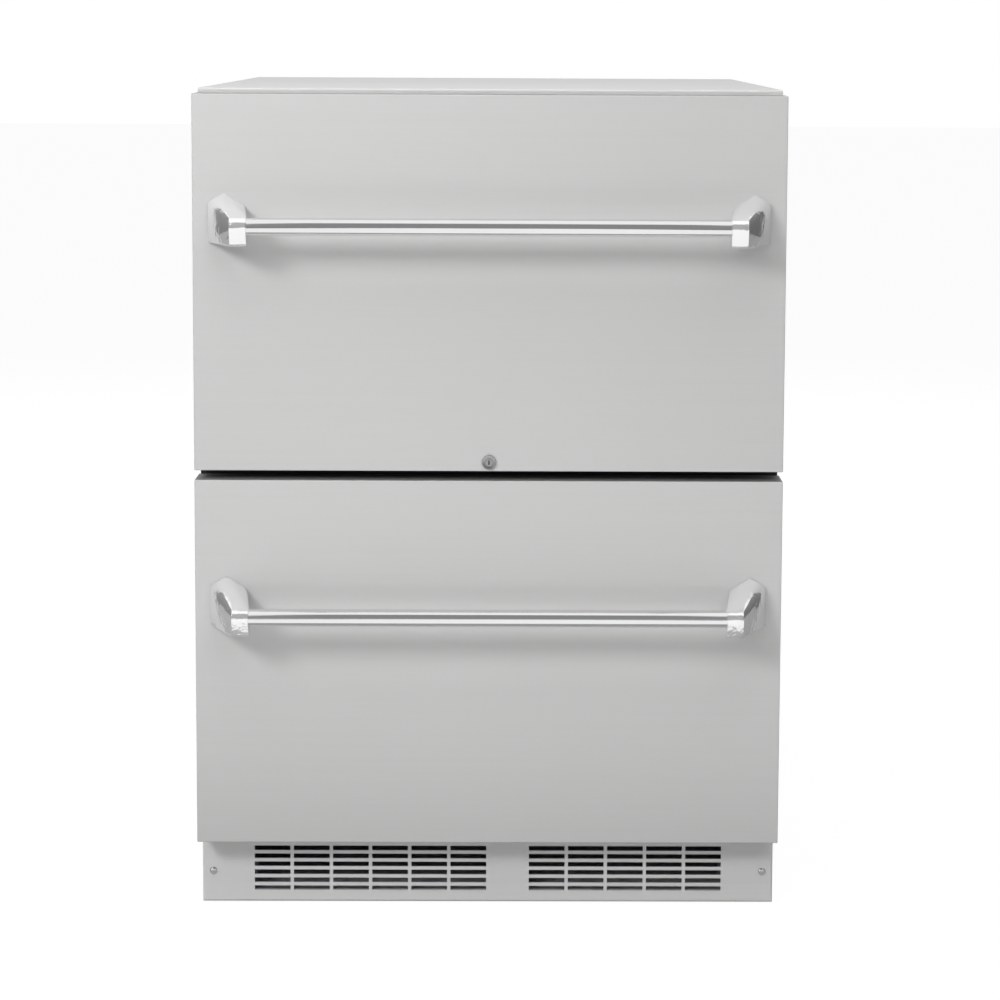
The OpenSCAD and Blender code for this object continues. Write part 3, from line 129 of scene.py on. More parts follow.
class CoatSettings(PropertyGroup):
    """Colours of the painted and moulded surfaces."""

    frame: colour("Face frame", "Powder coat of the face frame", (0.012, 0.012, 0.013))
    liner: colour("Liner", "Moulded liner and covers", (0.80, 0.81, 0.81))
    rubber: colour("Rubber", "Gaskets and mounts", (0.030, 0.030, 0.032))
    plastic: colour("Plastic", "Fans, knob and cross rail", (0.022, 0.022, 0.024))
    enamel: colour("Enamel", "Compressor and condenser", (0.010, 0.010, 0.011))


class TrimSettings(PropertyGroup):
    """Sizes of the small pieces."""

    bar_d: length("Bar", "Diameter of the handle bars", box_size("upper_handle_bar").z, 0.012, 0.025)
    bar_wall: length("Bar wall", "Wall of the handle bars' tube", 0.0015, 0.0005, 0.004)
    bend_r: length("Bend", "Outside radius of the fronts' bent edges", 0.0026, 0.001, 0.005)
    sheet_t: length("Sheet", "Thickness of the fronts' sheet", 0.0012, 0.0005, 0.003)
    cast_edge: length("Cast edge", "Radius on the edges of the cast brackets", 0.0009, 0.0002, 0.003)
    foot_l: length("Foot length", "Length of a bracket's foot on the front", 0.037, 0.02, 0.06)
    foot_t: length("Foot edge", "Thickness of the edge of a bracket's foot", 0.003, 0.001, 0.006)
    collar_l: length("Collar length", "Length of a bracket's collar along the bar", 0.0165, 0.01, 0.03)
    collar_run: length("Collar run", "How far a collar reaches past its foot", 0.0075, 0, 0.02)
    collar_wall: length("Collar wall", "How far a collar stands out from the bar", 0.0011, 0.0005, 0.003)
    screw_d: length("Grille screw", "Diameter of the toe grille's screw heads", 0.0086, 0.004, 0.012)
    small_screw_d: length("Small screw", "Diameter of the other screw heads", 0.0075, 0.004, 0.010)
    gasket_w: length("Gasket", "Width of the gaskets' section", 0.014, 0.01, 0.018)
    hood_out: length("Hood", "How far the rear louvres' hoods stand out", 0.004, 0.002, 0.007)
    coil_tube_d: length("Coil tube", "Diameter of the coils' tubes", 0.008, 0.005, 0.012)
    thread_pitch: length("Thread", "Pitch of the thread on the legs", 0.0015, 0.001, 0.003)
    stem_d: length("Leg stem", "Diameter of the legs' stems", 0.010, 0.008, 0.012)


class StudioSettings(PropertyGroup):
    """Light and camera."""

    key_power: power("Key light", "Power of the light in front on the left", 72.0)
    fill_power: power("Fill light", "Power of the light in front on the right", 11.0)
    brow_power: power("Brow light", "Power of the light close above the fronts", 18.0)
    low_power: power("Low light", "Power of the light near the floor, for the toe grille", 1.2)
    side_power: power("Side lights", "Power of each light beside the cabinet", 25.0)
    rear_power: power("Rear light", "Power of the light behind the cabinet", 40.0)
    top_power: power("Overhead light", "Power of the light over the floor", 3.0)
    room_light: share("Room light", "Level of the light from all round", 0.12)
    lens: FloatProperty(name="Lens", description="Focal length of the camera", default=81.05, min=20, max=200,
                        unit="CAMERA")


SETTINGS = {
    "fridge_steel": SteelSettings,
    "fridge_coat": CoatSettings,
    "fridge_trim": TrimSettings,
    "fridge_studio": StudioSettings,
}


def steel():
    """The metal settings of the scene."""
    return bpy.context.scene.fridge_steel


def coat():
    """The paint and plastic settings of the scene."""
    return bpy.context.scene.fridge_coat


def trim():
    """The trim settings of the scene."""
    return bpy.context.scene.fridge_trim


def studio():
    """The light and camera settings of the scene."""
    return bpy.context.scene.fridge_studio


# ---------- node trees ----------


def place(tree, kind, inputs=None, **settings):
    """A node of the given kind, with its settings, and its inputs set to values or linked to sockets."""
    node = tree.nodes.new(kind)
    for name, value in settings.items():
        setattr(node, name, value)
    for key, value in (inputs or {}).items():
        if isinstance(value, bpy.types.NodeSocket):
            tree.links.new(value, node.inputs[key])
        else:
            node.inputs[key].default_value = value
    return node


def new_group(name, kind, inputs, outputs):
    """A node group with named sockets. inputs holds (type, name, default) and outputs (type, name)."""
    tree = bpy.data.node_groups.new(name, kind)
    for socket_type, label, default in inputs:
        socket = tree.interface.new_socket(label, in_out="INPUT", socket_type=socket_type)
        if default is not None:
            socket.default_value = default
    for socket_type, label in outputs:
        tree.interface.new_socket(label, in_out="OUTPUT", socket_type=socket_type)
    return tree, tree.nodes.new("NodeGroupInput").outputs, tree.nodes.new("NodeGroupOutput").inputs


# Socket of a geometry group's input by the type of its default. No default stands for geometry
SOCKETS = {float: "NodeSocketFloat", int: "NodeSocketInt", type(None): "NodeSocketGeometry"}


def label_of(key):
    """The label of the socket that a keyword names."""
    return key.replace("_", " ").capitalize()


def shape_group(name, **defaults):
    """A geometry group with these inputs, a last one for its finish, and one output."""
    inputs = [(SOCKETS[type(value)], label_of(key), value) for key, value in defaults.items()]
    return new_group(name, "GeometryNodeTree", inputs + [("NodeSocketMaterial", "Finish", None)],
                     [("NodeSocketGeometry", "Geometry")])


def made(tree, kind, inputs=None, **settings):
    """The first output of a new node."""
    return place(tree, kind, inputs, **settings).outputs[0]


def math_node(tree, operation, a, b, clamp=False):
    """The result of one arithmetic step."""
    return made(tree, "ShaderNodeMath", {0: a, 1: b}, operation=operation, use_clamp=clamp)


def plus(tree, a, b, clamp=False):
    """The sum, held between 0 and 1 where clamp is set."""
    return math_node(tree, "ADD", a, b, clamp)


def minus(tree, a, b):
    """The difference."""
    return math_node(tree, "SUBTRACT", a, b)


def times(tree, a, b):
    """The product."""
    return math_node(tree, "MULTIPLY", a, b)


def ratio(tree, a, b):
    """The quotient."""
    return math_node(tree, "DIVIDE", a, b)


def more(tree, a, b):
    """Whether a is more than b."""
    return made(tree, "FunctionNodeCompare", {0: a, 1: b}, operation="GREATER_THAN")


def xyz(tree, x=0.0, y=0.0, z=0.0):
    """A vector from three numbers or sockets."""
    return made(tree, "ShaderNodeCombineXYZ", {0: x, 1: y, 2: z})


def alike(tree, value):
    """A vector whose three numbers are one value."""
    return xyz(tree, value, value, value)


def closing(tree, geometry, material, output):
    """Ends a tree: instances made real and the finish set."""
    real = made(tree, "GeometryNodeRealizeInstances", {0: geometry})
    done = made(tree, "GeometryNodeSetMaterial", {"Geometry": real, "Material": material})
    tree.links.new(done, output)


def cleared(owner):
    """The emptied node tree of a material or a world."""
    owner.use_nodes = True
    owner.node_tree.nodes.clear()
    return owner.node_tree


def scaled_noise(tree, scale, detail=2.0, roughness=0.5):
    """Noise over the object's coordinates, which are stretched by a vector of repeats per metre."""
    coords = place(tree, "ShaderNodeTexCoord").outputs["Object"]
    stretched = made(tree, "ShaderNodeVectorMath", {0: coords, 1: scale}, operation="MULTIPLY")
    return place(tree, "ShaderNodeTexNoise", {"Vector": stretched, "Scale": 1.0, "Detail": detail,
                                              "Roughness": roughness}).outputs["Fac"]


def ramp(tree, value, start, stop, low, high):
    """Turns a value that runs from start to stop into one from low to high."""
    return made(tree, "ShaderNodeMapRange", {"Value": value, "From Min": start, "From Max": stop,
                                             "To Min": low, "To Max": high})


def grain_group():
    """Brushed grain: long fine strokes with a few deeper ones, as a shade and a height."""
    tree, given, out = new_group("Brushed grain", "ShaderNodeTree",
                                 [("NodeSocketVector", "Strokes per metre", (4, 900, 900)),
                                  ("NodeSocketFloat", "Depth", 0.3)],
                                 [("NodeSocketFloat", "Shade"), ("NodeSocketFloat", "Height")])
    fine = scaled_noise(tree, given["Strokes per metre"], detail=3.0, roughness=0.7)
    wide = made(tree, "ShaderNodeVectorMath", {0: given["Strokes per metre"], 1: (0.35, 0.12, 0.12)},
                operation="MULTIPLY")
    bands = scaled_noise(tree, wide, detail=2.0)
    both = plus(tree, times(tree, fine, 0.6), times(tree, bands, 0.4))
    centred = minus(tree, both, 0.5)
    tree.links.new(times(tree, centred, given["Depth"]), out["Shade"])
    tree.links.new(times(tree, both, given["Depth"]), out["Height"])
    return tree


def handling_group():
    """Traces of handling: soft clouds and small specks, as a mask."""
    tree, given, out = new_group("Handling", "ShaderNodeTree",
                                 [("NodeSocketFloat", "Clouds per metre", 6.0),
                                  ("NodeSocketFloat", "Amount", 0.2)],
                                 [("NodeSocketFloat", "Mask")])
    cloud_scale = alike(tree, given["Clouds per metre"])
    clouds = scaled_noise(tree, cloud_scale, detail=4.0, roughness=0.6)
    specks = scaled_noise(tree, (420, 420, 420), detail=1.0)
    sparse = ramp(tree, specks, 0.68, 0.8, 0.0, 1.0)
    mixed = plus(tree, clouds, times(tree, sparse, 0.35), clamp=True)
    tree.links.new(times(tree, mixed, given["Amount"]), out["Mask"])
    return tree


def peel_group():
    """Moulded or painted skin: a fine peel, as a height."""
    tree, given, out = new_group("Peel", "ShaderNodeTree",
                                 [("NodeSocketFloat", "Grains per metre", 500.0)],
                                 [("NodeSocketFloat", "Height")])
    scale = alike(tree, given["Grains per metre"])
    tree.links.new(scaled_noise(tree, scale, detail=2.0), out["Height"])
    return tree


EFFECTS = {"Brushed grain": grain_group, "Handling": handling_group, "Peel": peel_group}


def effect(tree, name, **inputs):
    """One of the shared effects, placed in a material with its own values."""
    group = bpy.data.node_groups.get(name) or EFFECTS[name]()
    node = place(tree, "ShaderNodeGroup", node_tree=group)
    for key, value in inputs.items():
        node.inputs[label_of(key)].default_value = value
    return node.outputs


def new_material(name):
    """An empty material and its tree, with a Principled shader on the output."""
    material = bpy.data.materials.new(name)
    tree = cleared(material)
    shader = place(tree, "ShaderNodeBsdfPrincipled")
    place(tree, "ShaderNodeOutputMaterial", {"Surface": shader.outputs[0]})
    return material, tree, shader


def tinted(tree, base, shade, gain=1.0):
    """The base colour, lighter or darker by a shade about zero."""
    grey = alike(tree, plus(tree, 1.0, times(tree, shade, gain)))
    return made(tree, "ShaderNodeVectorMath", {0: grey, 1: tuple(base)}, operation="MULTIPLY")


def finished(tree, shader, base, rough, height, depth, metal=0.0):
    """Wires a shader: colour, roughness, a relief of the given depth in metres, and how metallic it is."""
    tree.links.new(base, shader.inputs["Base Color"])
    tree.links.new(rough, shader.inputs["Roughness"])
    tree.links.new(made(tree, "ShaderNodeBump", {"Height": height, "Distance": depth, "Strength": 1.0}),
                   shader.inputs["Normal"])
    shader.inputs["Metallic"].default_value = metal


# Share of a brushed and of a plated surface that mirrors as metal does. Its fine scratches scatter the rest
BRUSHED_METAL = 0.55
PLATED_METAL = 0.6
# Painted shade: how bright the side returns and the level returns of a front are painted beside its face, as if
# they lay in shade
SIDE_RETURN_SHADE = 0.80
LEVEL_RETURN_SHADE = 0.42


def painted_shade_on_returns(tree):
    """1 on a face that looks forward, less on the bends and returns: painted shade, which makes them darker as
    if they lay in shade.
    """
    facing = place(tree, "ShaderNodeTexCoord").outputs["Normal"]
    sides = made(tree, "ShaderNodeVectorMath", {0: facing}, operation="ABSOLUTE")
    split = place(tree, "ShaderNodeSeparateXYZ", {0: sides}).outputs
    side = ramp(tree, split["X"], 0.15, 0.75, 1.0, SIDE_RETURN_SHADE)
    level = ramp(tree, split["Z"], 0.72, 0.95, 1.0, LEVEL_RETURN_SHADE)
    return times(tree, side, level)


def brushed(name, base, strokes, bent=False):
    """Brushed steel whose strokes run along the axis with the fewest repeats per metre. bent adds painted shade
    on its bends and returns.
    """
    material, tree, shader = new_material(name)
    grain = effect(tree, "Brushed grain", Strokes_per_metre=strokes, Depth=steel().grain_depth)
    traces = effect(tree, "Handling", Clouds_per_metre=5.0, Amount=0.12)
    even = plus(tree, steel().front_roughness, times(tree, grain["Shade"], 0.5))
    rough = plus(tree, even, times(tree, traces["Mask"], 0.5))
    shade = tinted(tree, base, grain["Shade"], 0.35)
    # painted shade: the bends and returns come out darker than the face
    if bent:
        mask = painted_shade_on_returns(tree)
        shade = made(tree, "ShaderNodeVectorMath", {0: shade, "Scale": mask}, operation="SCALE")
    finished(tree, shader, shade, rough, grain["Height"], 0.00004, BRUSHED_METAL)
    return material


def polished(name, base, roughness, ripple=0.00002, metal=1.0):
    """Polished metal. ripple is how deep the waves of the buffed surface are."""
    material, tree, shader = new_material(name)
    traces = effect(tree, "Handling", Clouds_per_metre=30.0, Amount=0.10)
    peel = effect(tree, "Peel", Grains_per_metre=90.0)
    finished(tree, shader, tinted(tree, base, times(tree, traces["Mask"], -0.5)),
             plus(tree, roughness, traces["Mask"]), peel["Height"], ripple, metal)
    return material


def plated(name, base, roughness, spangle):
    """Zinc: crystals of the given size in metres, each with its own shade."""
    material, tree, shader = new_material(name)
    coords = place(tree, "ShaderNodeTexCoord").outputs["Object"]
    cells = place(tree, "ShaderNodeTexVoronoi", {"Vector": coords, "Scale": 1 / spangle, "Randomness": 1.0})
    shade = made(tree, "ShaderNodeSeparateColor", {0: cells.outputs["Color"]})
    peel = effect(tree, "Peel", Grains_per_metre=300.0)
    rough = ramp(tree, shade, 0.0, 1.0, roughness - 0.06, roughness + 0.12)
    tint = tinted(tree, base, minus(tree, shade, 0.5), 0.22)
    finished(tree, shader, tint, rough, peel["Height"], 0.00003, PLATED_METAL)
    return material


def coated(name, base, roughness, grains, depth, handled=0.10, sheen=0.0):
    """Paint, plastic or rubber with a fine peel, in shades that handling has left."""
    material, tree, shader = new_material(name)
    traces = effect(tree, "Handling", Clouds_per_metre=9.0, Amount=handled)
    peel = effect(tree, "Peel", Grains_per_metre=grains)
    finished(tree, shader, tinted(tree, base, times(tree, traces["Mask"], -0.6)),
             plus(tree, roughness, traces["Mask"]), peel["Height"], depth)
    shader.inputs["Sheen Weight"].default_value = sheen
    return material


def strokes(pitch, axis):
    """Repeats per metre for a grain whose strokes run along one axis."""
    across = 1 / pitch
    return tuple(5.0 if i == axis else across for i in range(3))


def build_materials():
    """Makes every finish once and returns them by name."""
    s, c = steel(), coat()
    along_x, upright = strokes(s.grain, 0), strokes(s.grain, 2)
    # Painted light: the toe grille's steel is a lighter copy of the fronts' steel. It stands in for light that
    # its low place under the fronts doesn't get
    toe = [1.25 * part for part in s.front]
    cast = [min(1.1 * part, 1.0) for part in s.polished]
    nickel = [0.5 * part for part in s.polished]
    return {
        "stainless": brushed("brushed steel", s.front, along_x),
        "stainless_upright": brushed("brushed steel, upright", s.front, upright),
        # the fronts' steel, with painted shade on its bends and returns
        "stainless_shaded_returns": brushed("brushed steel, bent", s.front, along_x, bent=True),
        "stainless_toe_painted_light": brushed("brushed steel, toe grille", toe, along_x),
        "polished_metal": polished("polished metal", s.polished, 0.07),
        "buffed_casting": polished("buffed casting", cast, 0.10, 0.0008, 0.85),
        "lock_nickel": polished("lock nickel", nickel, 0.28, 0.0001),
        "galvanised": plated("galvanised sheet", s.galvanised, 0.42, 0.012),
        "zinc": plated("zinc plate", s.zinc, 0.28, 0.0012),
        "black_frame": coated("black powder coat", c.frame, 0.55, 1400, 0.00006),
        "liner_white": coated("moulded liner", c.liner, 0.38, 700, 0.00002, 0.06),
        "foam": coated("foam", (0.72, 0.60, 0.30), 0.9, 500, 0.0006),
        "gasket_rubber": coated("gasket rubber", c.rubber, 0.62, 900, 0.00003, 0.2, 0.15),
        "black_plastic": coated("black plastic", c.plastic, 0.48, 1000, 0.00004),
        "compressor_black": coated("black enamel", c.enamel, 0.32, 260, 0.00008, 0.25),
        "copper": polished("copper", (0.72, 0.33, 0.20), 0.22),
        "coil_aluminium": polished("aluminium fins", (0.70, 0.71, 0.72), 0.30),
        "lens": coated("frosted lens", (0.86, 0.86, 0.80), 0.25, 300, 0.00004, 0.03),
    }


# ---------- meshes ----------


# Points closer than this, in metres, are one
SAME = 1e-6


def mesh_of(bm, name):
    """The mesh that a bmesh ends in."""
    mesh = bpy.data.meshes.new(name)
    bm.to_mesh(mesh)
    bm.free()
    return mesh


def added(name, data):
    """A new object in the scene."""
    obj = bpy.data.objects.new(name, data)
    bpy.context.scene.collection.objects.link(obj)
    return obj


def finish_object(name, bm, material, body, replaced, crease):
    """Turns a bmesh in the frame's coordinates into a piece that rides on a body and stands for solids."""
    bmesh.ops.remove_doubles(bm, verts=bm.verts, dist=SAME)
    bmesh.ops.recalc_face_normals(bm, faces=bm.faces)
    seat_object(added(name, mesh_of(bm, name)), material, body, replaced, crease)


def seat_object(obj, material, body, replaced, crease=30.0):
    """Gives a mesh its finish and its body. Edges under crease degrees turn smooth, and None leaves them."""
    obj.data.materials.clear()
    obj.data.materials.append(material)
    if crease:
        obj.data.polygons.foreach_set("use_smooth", [True] * len(obj.data.polygons))
        obj.data.set_sharp_from_angle(angle=math.radians(crease))
    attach(obj, body)
    if replaced:
        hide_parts(*replaced)


def applied(obj):
    """The object with its modifiers turned into plain mesh."""
    bpy.context.view_layer.update()
    evaluated = obj.evaluated_get(bpy.context.evaluated_depsgraph_get())
    mesh = bpy.data.meshes.new_from_object(evaluated)
    obj.modifiers.clear()
    obj.data = mesh
    mesh.name = obj.name
    return obj


def skin(bm, lower, upper, sides):
    """Faces between two rings of points. Either ring may be a single point."""
    for i in range(sides):
        j = (i + 1) % sides
        corners = [ring[k % len(ring)] for ring, k in ((lower, i), (lower, j), (upper, j), (upper, i))]
        bm.faces.new(list(dict.fromkeys(corners)))


def prism(bm, outline, start, end):
    """A closed prism: the outline's points, each a Vector, at start and end offsets."""
    rings = [[bm.verts.new(p + offset) for p in outline] for offset in (start, end)]
    skin(bm, *rings, len(outline))
    bm.faces.new(list(reversed(rings[0])))
    bm.faces.new(rings[1])


def circle_points(centre, across, up, radius, count):
    """Points round a circle in the plane of two unit vectors."""
    return [centre + across * (radius * math.cos(2 * math.pi * i / count))
            + up * (radius * math.sin(2 * math.pi * i / count)) for i in range(count)]


# ---------- drawer fronts ----------


def bend_edges(bm, edges, radius, segments):
    """Rounds the given edges."""
    bmesh.ops.bevel(bm, geom=edges, offset=radius, segments=segments, profile=0.5, affect="EDGES",
                    clamp_overlap=True)


# How far the drill for a hole reaches before and behind the face
DRILL_REACH = 0.01
# Segments of a bend: on the pan's corners, and from its face into its returns
CORNER_SEGMENTS = 3
BEND_SEGMENTS = 6


def front_pan(name, low, high, radius, wall, hole=None):
    """A sheet pan: a flat face and four bent edges, open at the back. hole is its hole's (centre, radius)."""
    bm = bmesh.new()
    bmesh.ops.create_cube(bm, size=1.0)
    size, middle = high - low, (high + low) / 2
    bmesh.ops.transform(bm, matrix=Matrix.Translation(middle) @ Matrix.Diagonal((*size, 1)), verts=bm.verts)
    back = [f for f in bm.faces if f.normal.y > 0.9]
    bmesh.ops.delete(bm, geom=back, context="FACES_ONLY")
    ribs = [e for e in bm.edges if abs((e.verts[0].co - e.verts[1].co).y) > size.y / 2]
    bend_edges(bm, ribs, radius / 3, CORNER_SEGMENTS)
    rim = [e for e in bm.edges if all(abs(v.co.y - low.y) < SAME for v in e.verts)]
    bend_edges(bm, rim, radius, BEND_SEGMENTS)
    pan = added(name, mesh_of(bm, name))
    thick = pan.modifiers.new("sheet", "SOLIDIFY")
    thick.thickness = wall
    thick.offset = -1.0
    thick.use_even_offset = True
    if not hole:
        return applied(pan)
    centre, hole_r = hole
    drill = bmesh.new()
    prism(drill, circle_points(centre, X, Z, hole_r, 48), -Y * DRILL_REACH, Y * DRILL_REACH)
    bmesh.ops.recalc_face_normals(drill, faces=drill.faces)
    cut = pan.modifiers.new("hole", "BOOLEAN")
    cut.object = added("drill", mesh_of(drill, "drill"))
    cut.solver = "EXACT"
    drill_object = cut.object
    applied(pan)
    bpy.data.objects.remove(drill_object)
    return pan


# Radius of the lock's hole in the front as a share of the width of its ring, which covers the hole's edge
LOCK_HOLE = 0.42


class FRIDGE_OT_fronts(Operator):
    """Bent steel pans of both drawer fronts"""

    bl_idname = "fridge.fronts"
    bl_label = "Drawer fronts"

    def execute(self, context):
        t = trim()
        for drawer in DRAWERS:
            node = f"{drawer}_front_skin"
            low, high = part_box(node)
            hole = None
            if drawer == "upper":
                ring_low, ring_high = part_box("lock_barrel")
                centre = (ring_low + ring_high) / 2
                hole = (Vector((centre.x, low.y, centre.z)), box_size("lock_barrel").x * LOCK_HOLE)
            pan = front_pan(f"{drawer}_front", low, high, t.bend_r, t.sheet_t, hole)
            # the pan's finish paints shade on its bends and returns
            seat_object(pan, FINISH["stainless_shaded_returns"], BODY_OF[node], [node])
        return {"FINISHED"}


# ---------- handles ----------


def tube_tree():
    """Geometry nodes: a tube with eased ends, along X and centred on the origin."""
    tree, given, out = shape_group("Handle tube", Length=0.5, Diameter=0.0175, Wall=0.0015, Sides=96)
    outer = times(tree, given["Diameter"], 0.5)
    inner = minus(tree, outer, given["Wall"])
    # the wall's section: a small rectangle, swept round the axis
    middle = times(tree, plus(tree, outer, inner), 0.5)
    ring = made(tree, "GeometryNodeCurvePrimitiveCircle", {"Resolution": given["Sides"], "Radius": middle})
    section = made(tree, "GeometryNodeCurvePrimitiveQuadrilateral", {0: given["Wall"], 1: given["Length"]})
    eased = made(tree, "GeometryNodeFilletCurve", {"Curve": section, "Count": 3,
                                                   "Radius": times(tree, given["Wall"], 0.3)}, mode="POLY")
    swept = made(tree, "GeometryNodeCurveToMesh", {"Curve": ring, "Profile Curve": eased})
    turned = made(tree, "GeometryNodeTransform", {"Geometry": swept, "Rotation": (0, QUARTER, 0)})
    closing(tree, turned, given["Finish"], out[0])
    return tree


def grown(tree, name, mesh=None, **inputs):
    """The plain mesh that a node tree makes from its named inputs, and from a mesh if it needs one."""
    obj = added(name, mesh or bpy.data.meshes.new(name))
    modifier = obj.modifiers.new("shape", "NODES")
    modifier.node_group = tree
    ids = {item.name: item.identifier for item in tree.interface.items_tree if item.in_out == "INPUT"}
    for key, value in inputs.items():
        modifier[ids[label_of(key)]] = value
    return applied(obj)


def handle_bracket(bm, high, bar_axis, drop, side):
    """The hull of a cast bracket: a many-sided foot on the front and a collar round the bar."""
    t = trim()
    rise = high.z - bar_axis.z
    corner = rise / 5
    swell = corner / 10
    outer, inner = high.x, high.x - t.foot_l
    outline = [(outer, -drop), (outer, rise - 2 * corner + 4 * swell),
               (outer - corner, rise - corner + swell), (outer - 3 * corner + 3 * swell, rise),
               (inner, rise / 2 + 3 * swell), (inner, -drop)]
    points = [Vector((x, y, bar_axis.z + up)) for x, up in outline for y in (high.y, high.y - t.foot_t)]
    collar_x = inner - t.collar_run
    for x in (collar_x, collar_x + t.collar_l):
        centre = Vector((x, bar_axis.y, bar_axis.z))
        points += circle_points(centre, Y, Z, t.bar_d / 2 + t.collar_wall, 64)
        skirt = Vector((x, bar_axis.y + t.collar_wall, bar_axis.z - drop + corner))
        points += circle_points(skirt, Y, Z, corner, 32)
    verts = [bm.verts.new(Vector((p.x * side, p.y, p.z))) for p in points]
    hull = bmesh.ops.convex_hull(bm, input=verts)
    loose = [g for g in hull["geom_interior"] + hull["geom_unused"] if isinstance(g, bmesh.types.BMVert)]
    bmesh.ops.delete(bm, geom=list(set(loose)), context="VERTS")


class FRIDGE_OT_handles(Operator):
    """Polished bars and the cast brackets that carry them"""

    bl_idname = "fridge.handles"
    bl_label = "Handles"

    def execute(self, context):
        t = trim()
        tree = tube_tree()
        for drawer in DRAWERS:
            node = f"{drawer}_handle_bar"
            low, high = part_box(node)
            axis = (low + high) / 2
            bar = grown(tree, f"{drawer}_bar", Length=high.x - low.x, Diameter=t.bar_d, Wall=t.bar_wall,
                        Sides=96, Finish=FINISH["polished_metal"])
            bar.data.transform(Matrix.Translation(axis))
            seat_object(bar, FINISH["polished_metal"], BODY_OF[node], [node])
            self.brackets(drawer, axis)
        return {"FINISHED"}

    def brackets(self, drawer, axis):
        """Both brackets of one handle as one piece."""
        t = trim()
        node = f"{drawer}_handle_brackets"
        low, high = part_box(node)
        foot = Vector((high.x - t.foot_t / 2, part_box(f"{drawer}_front_skin")[0].y, high.z))
        bm = bmesh.new()
        for side in (-1, 1):
            handle_bracket(bm, foot, axis, axis.z - low.z, side)
        bmesh.ops.recalc_face_normals(bm, faces=bm.faces)
        bmesh.ops.dissolve_limit(bm, angle_limit=math.radians(0.5), verts=bm.verts, edges=bm.edges)
        hard = [e for e in bm.edges if len(e.link_faces) == 2 and e.calc_face_angle() > math.radians(16)]
        bend_edges(bm, hard, t.cast_edge, 4)
        finish_object(f"{drawer}_brackets", bm, FINISH["buffed_casting"], BODY_OF[node], [node], crease=50.0)


# ---------- pieces that follow their solid, with eased edges ----------

# Radius in metres that the edges of a solid are eased by
EASED = {
    "top_panel": 0.0004, "left_side_panel": 0.0005, "right_side_panel": 0.0005, "back_panel": 0.0003,
    "face_frame": 0.0004, "mullion": 0.0004, "inner_liner": 0.0006, "bay_liner": 0.0003, "base_pan": 0.0004,
    "machine_cover": 0.0003, "lock_keeper": 0.0003, "lock_barrel": 0.0003,
    "lock_plug": 0.00015, "lock_cam": 0.0003, "compressor": 0.0012, "compressor_mounts": 0.0006,
    "condenser_fan_frame": 0.0005, "condenser_fan_rotor": 0.0004, "drain_pan": 0.0006, "cord_gland": 0.0006,
    "evaporator_cover": 0.0007, "circulation_fan_frame": 0.0005, "circulation_fan_rotor": 0.0004,
    "thermostat_housing": 0.0006, "thermostat_knob": 0.0004, "light_lens": 0.0005,
    "upper_inner_panel": 0.0012, "lower_inner_panel": 0.0012, "upper_box": 0.0003, "lower_box": 0.0003,
    "upper_outer_rails": 0.0002, "lower_outer_rails": 0.0002,
    "upper_middle_rails": 0.0002, "lower_middle_rails": 0.0002, "upper_inner_rails": 0.0002,
    "lower_inner_rails": 0.0002,
}


def merged_copy(node):
    """A copy of a solid's mesh whose flat faces are whole again."""
    bm = bmesh.new()
    bm.from_mesh(NODES[node].data)
    bmesh.ops.remove_doubles(bm, verts=bm.verts, dist=SAME)
    bmesh.ops.dissolve_limit(bm, angle_limit=math.radians(0.6), verts=bm.verts, edges=bm.edges)
    mesh = mesh_of(bm, node)
    if "custom_normal" in mesh.attributes:
        mesh.attributes.remove(mesh.attributes["custom_normal"])
    mesh.polygons.foreach_set("use_smooth", [True] * len(mesh.polygons))
    return mesh


def eased_copy(node, radius):
    """The solid with a small round on each hard edge, as a piece that stands for it."""
    obj = added(f"{node}_eased", merged_copy(node))
    ease = obj.modifiers.new("ease", "BEVEL")
    ease.width = radius
    ease.segments = 2
    ease.limit_method = "ANGLE"
    ease.angle_limit = math.radians(32)
    ease.harden_normals = True
    seat_object(applied(obj), FINISH[finish_of(node)], BODY_OF[node], [node], crease=None)


# Solids whose finish isn't the one that their slot names
OWN_FINISH = {
    "left_side_panel": "stainless_upright", "right_side_panel": "stainless_upright",
    # the toe grille gets the lighter copy of the fronts' steel: painted light
    "toe_grille": "stainless_toe_painted_light", "lock_barrel": "lock_nickel", "lock_plug": "lock_nickel",
    # the lock keeper takes the face frame's black instead of its zinc: painted shade, so that it stays dark in
    # the shaded gap between the fronts
    "lock_keeper": "black_frame",
}


def finish_of(node):
    """Name of the finish that a solid gets."""
    return OWN_FINISH.get(node, SLOT_OF[node])


class FRIDGE_OT_eased(Operator):
    """Panels, mouldings and small parts with eased edges"""

    bl_idname = "fridge.eased"
    bl_label = "Eased parts"

    def execute(self, context):
        for node, radius in EASED.items():
            eased_copy(node, radius)
        return {"FINISHED"}


# ---------- pieces that repeat ----------


# Size of a screw's cross recess as shares of its head
CROSS_LENGTH, CROSS_WIDTH = 0.55, 0.12


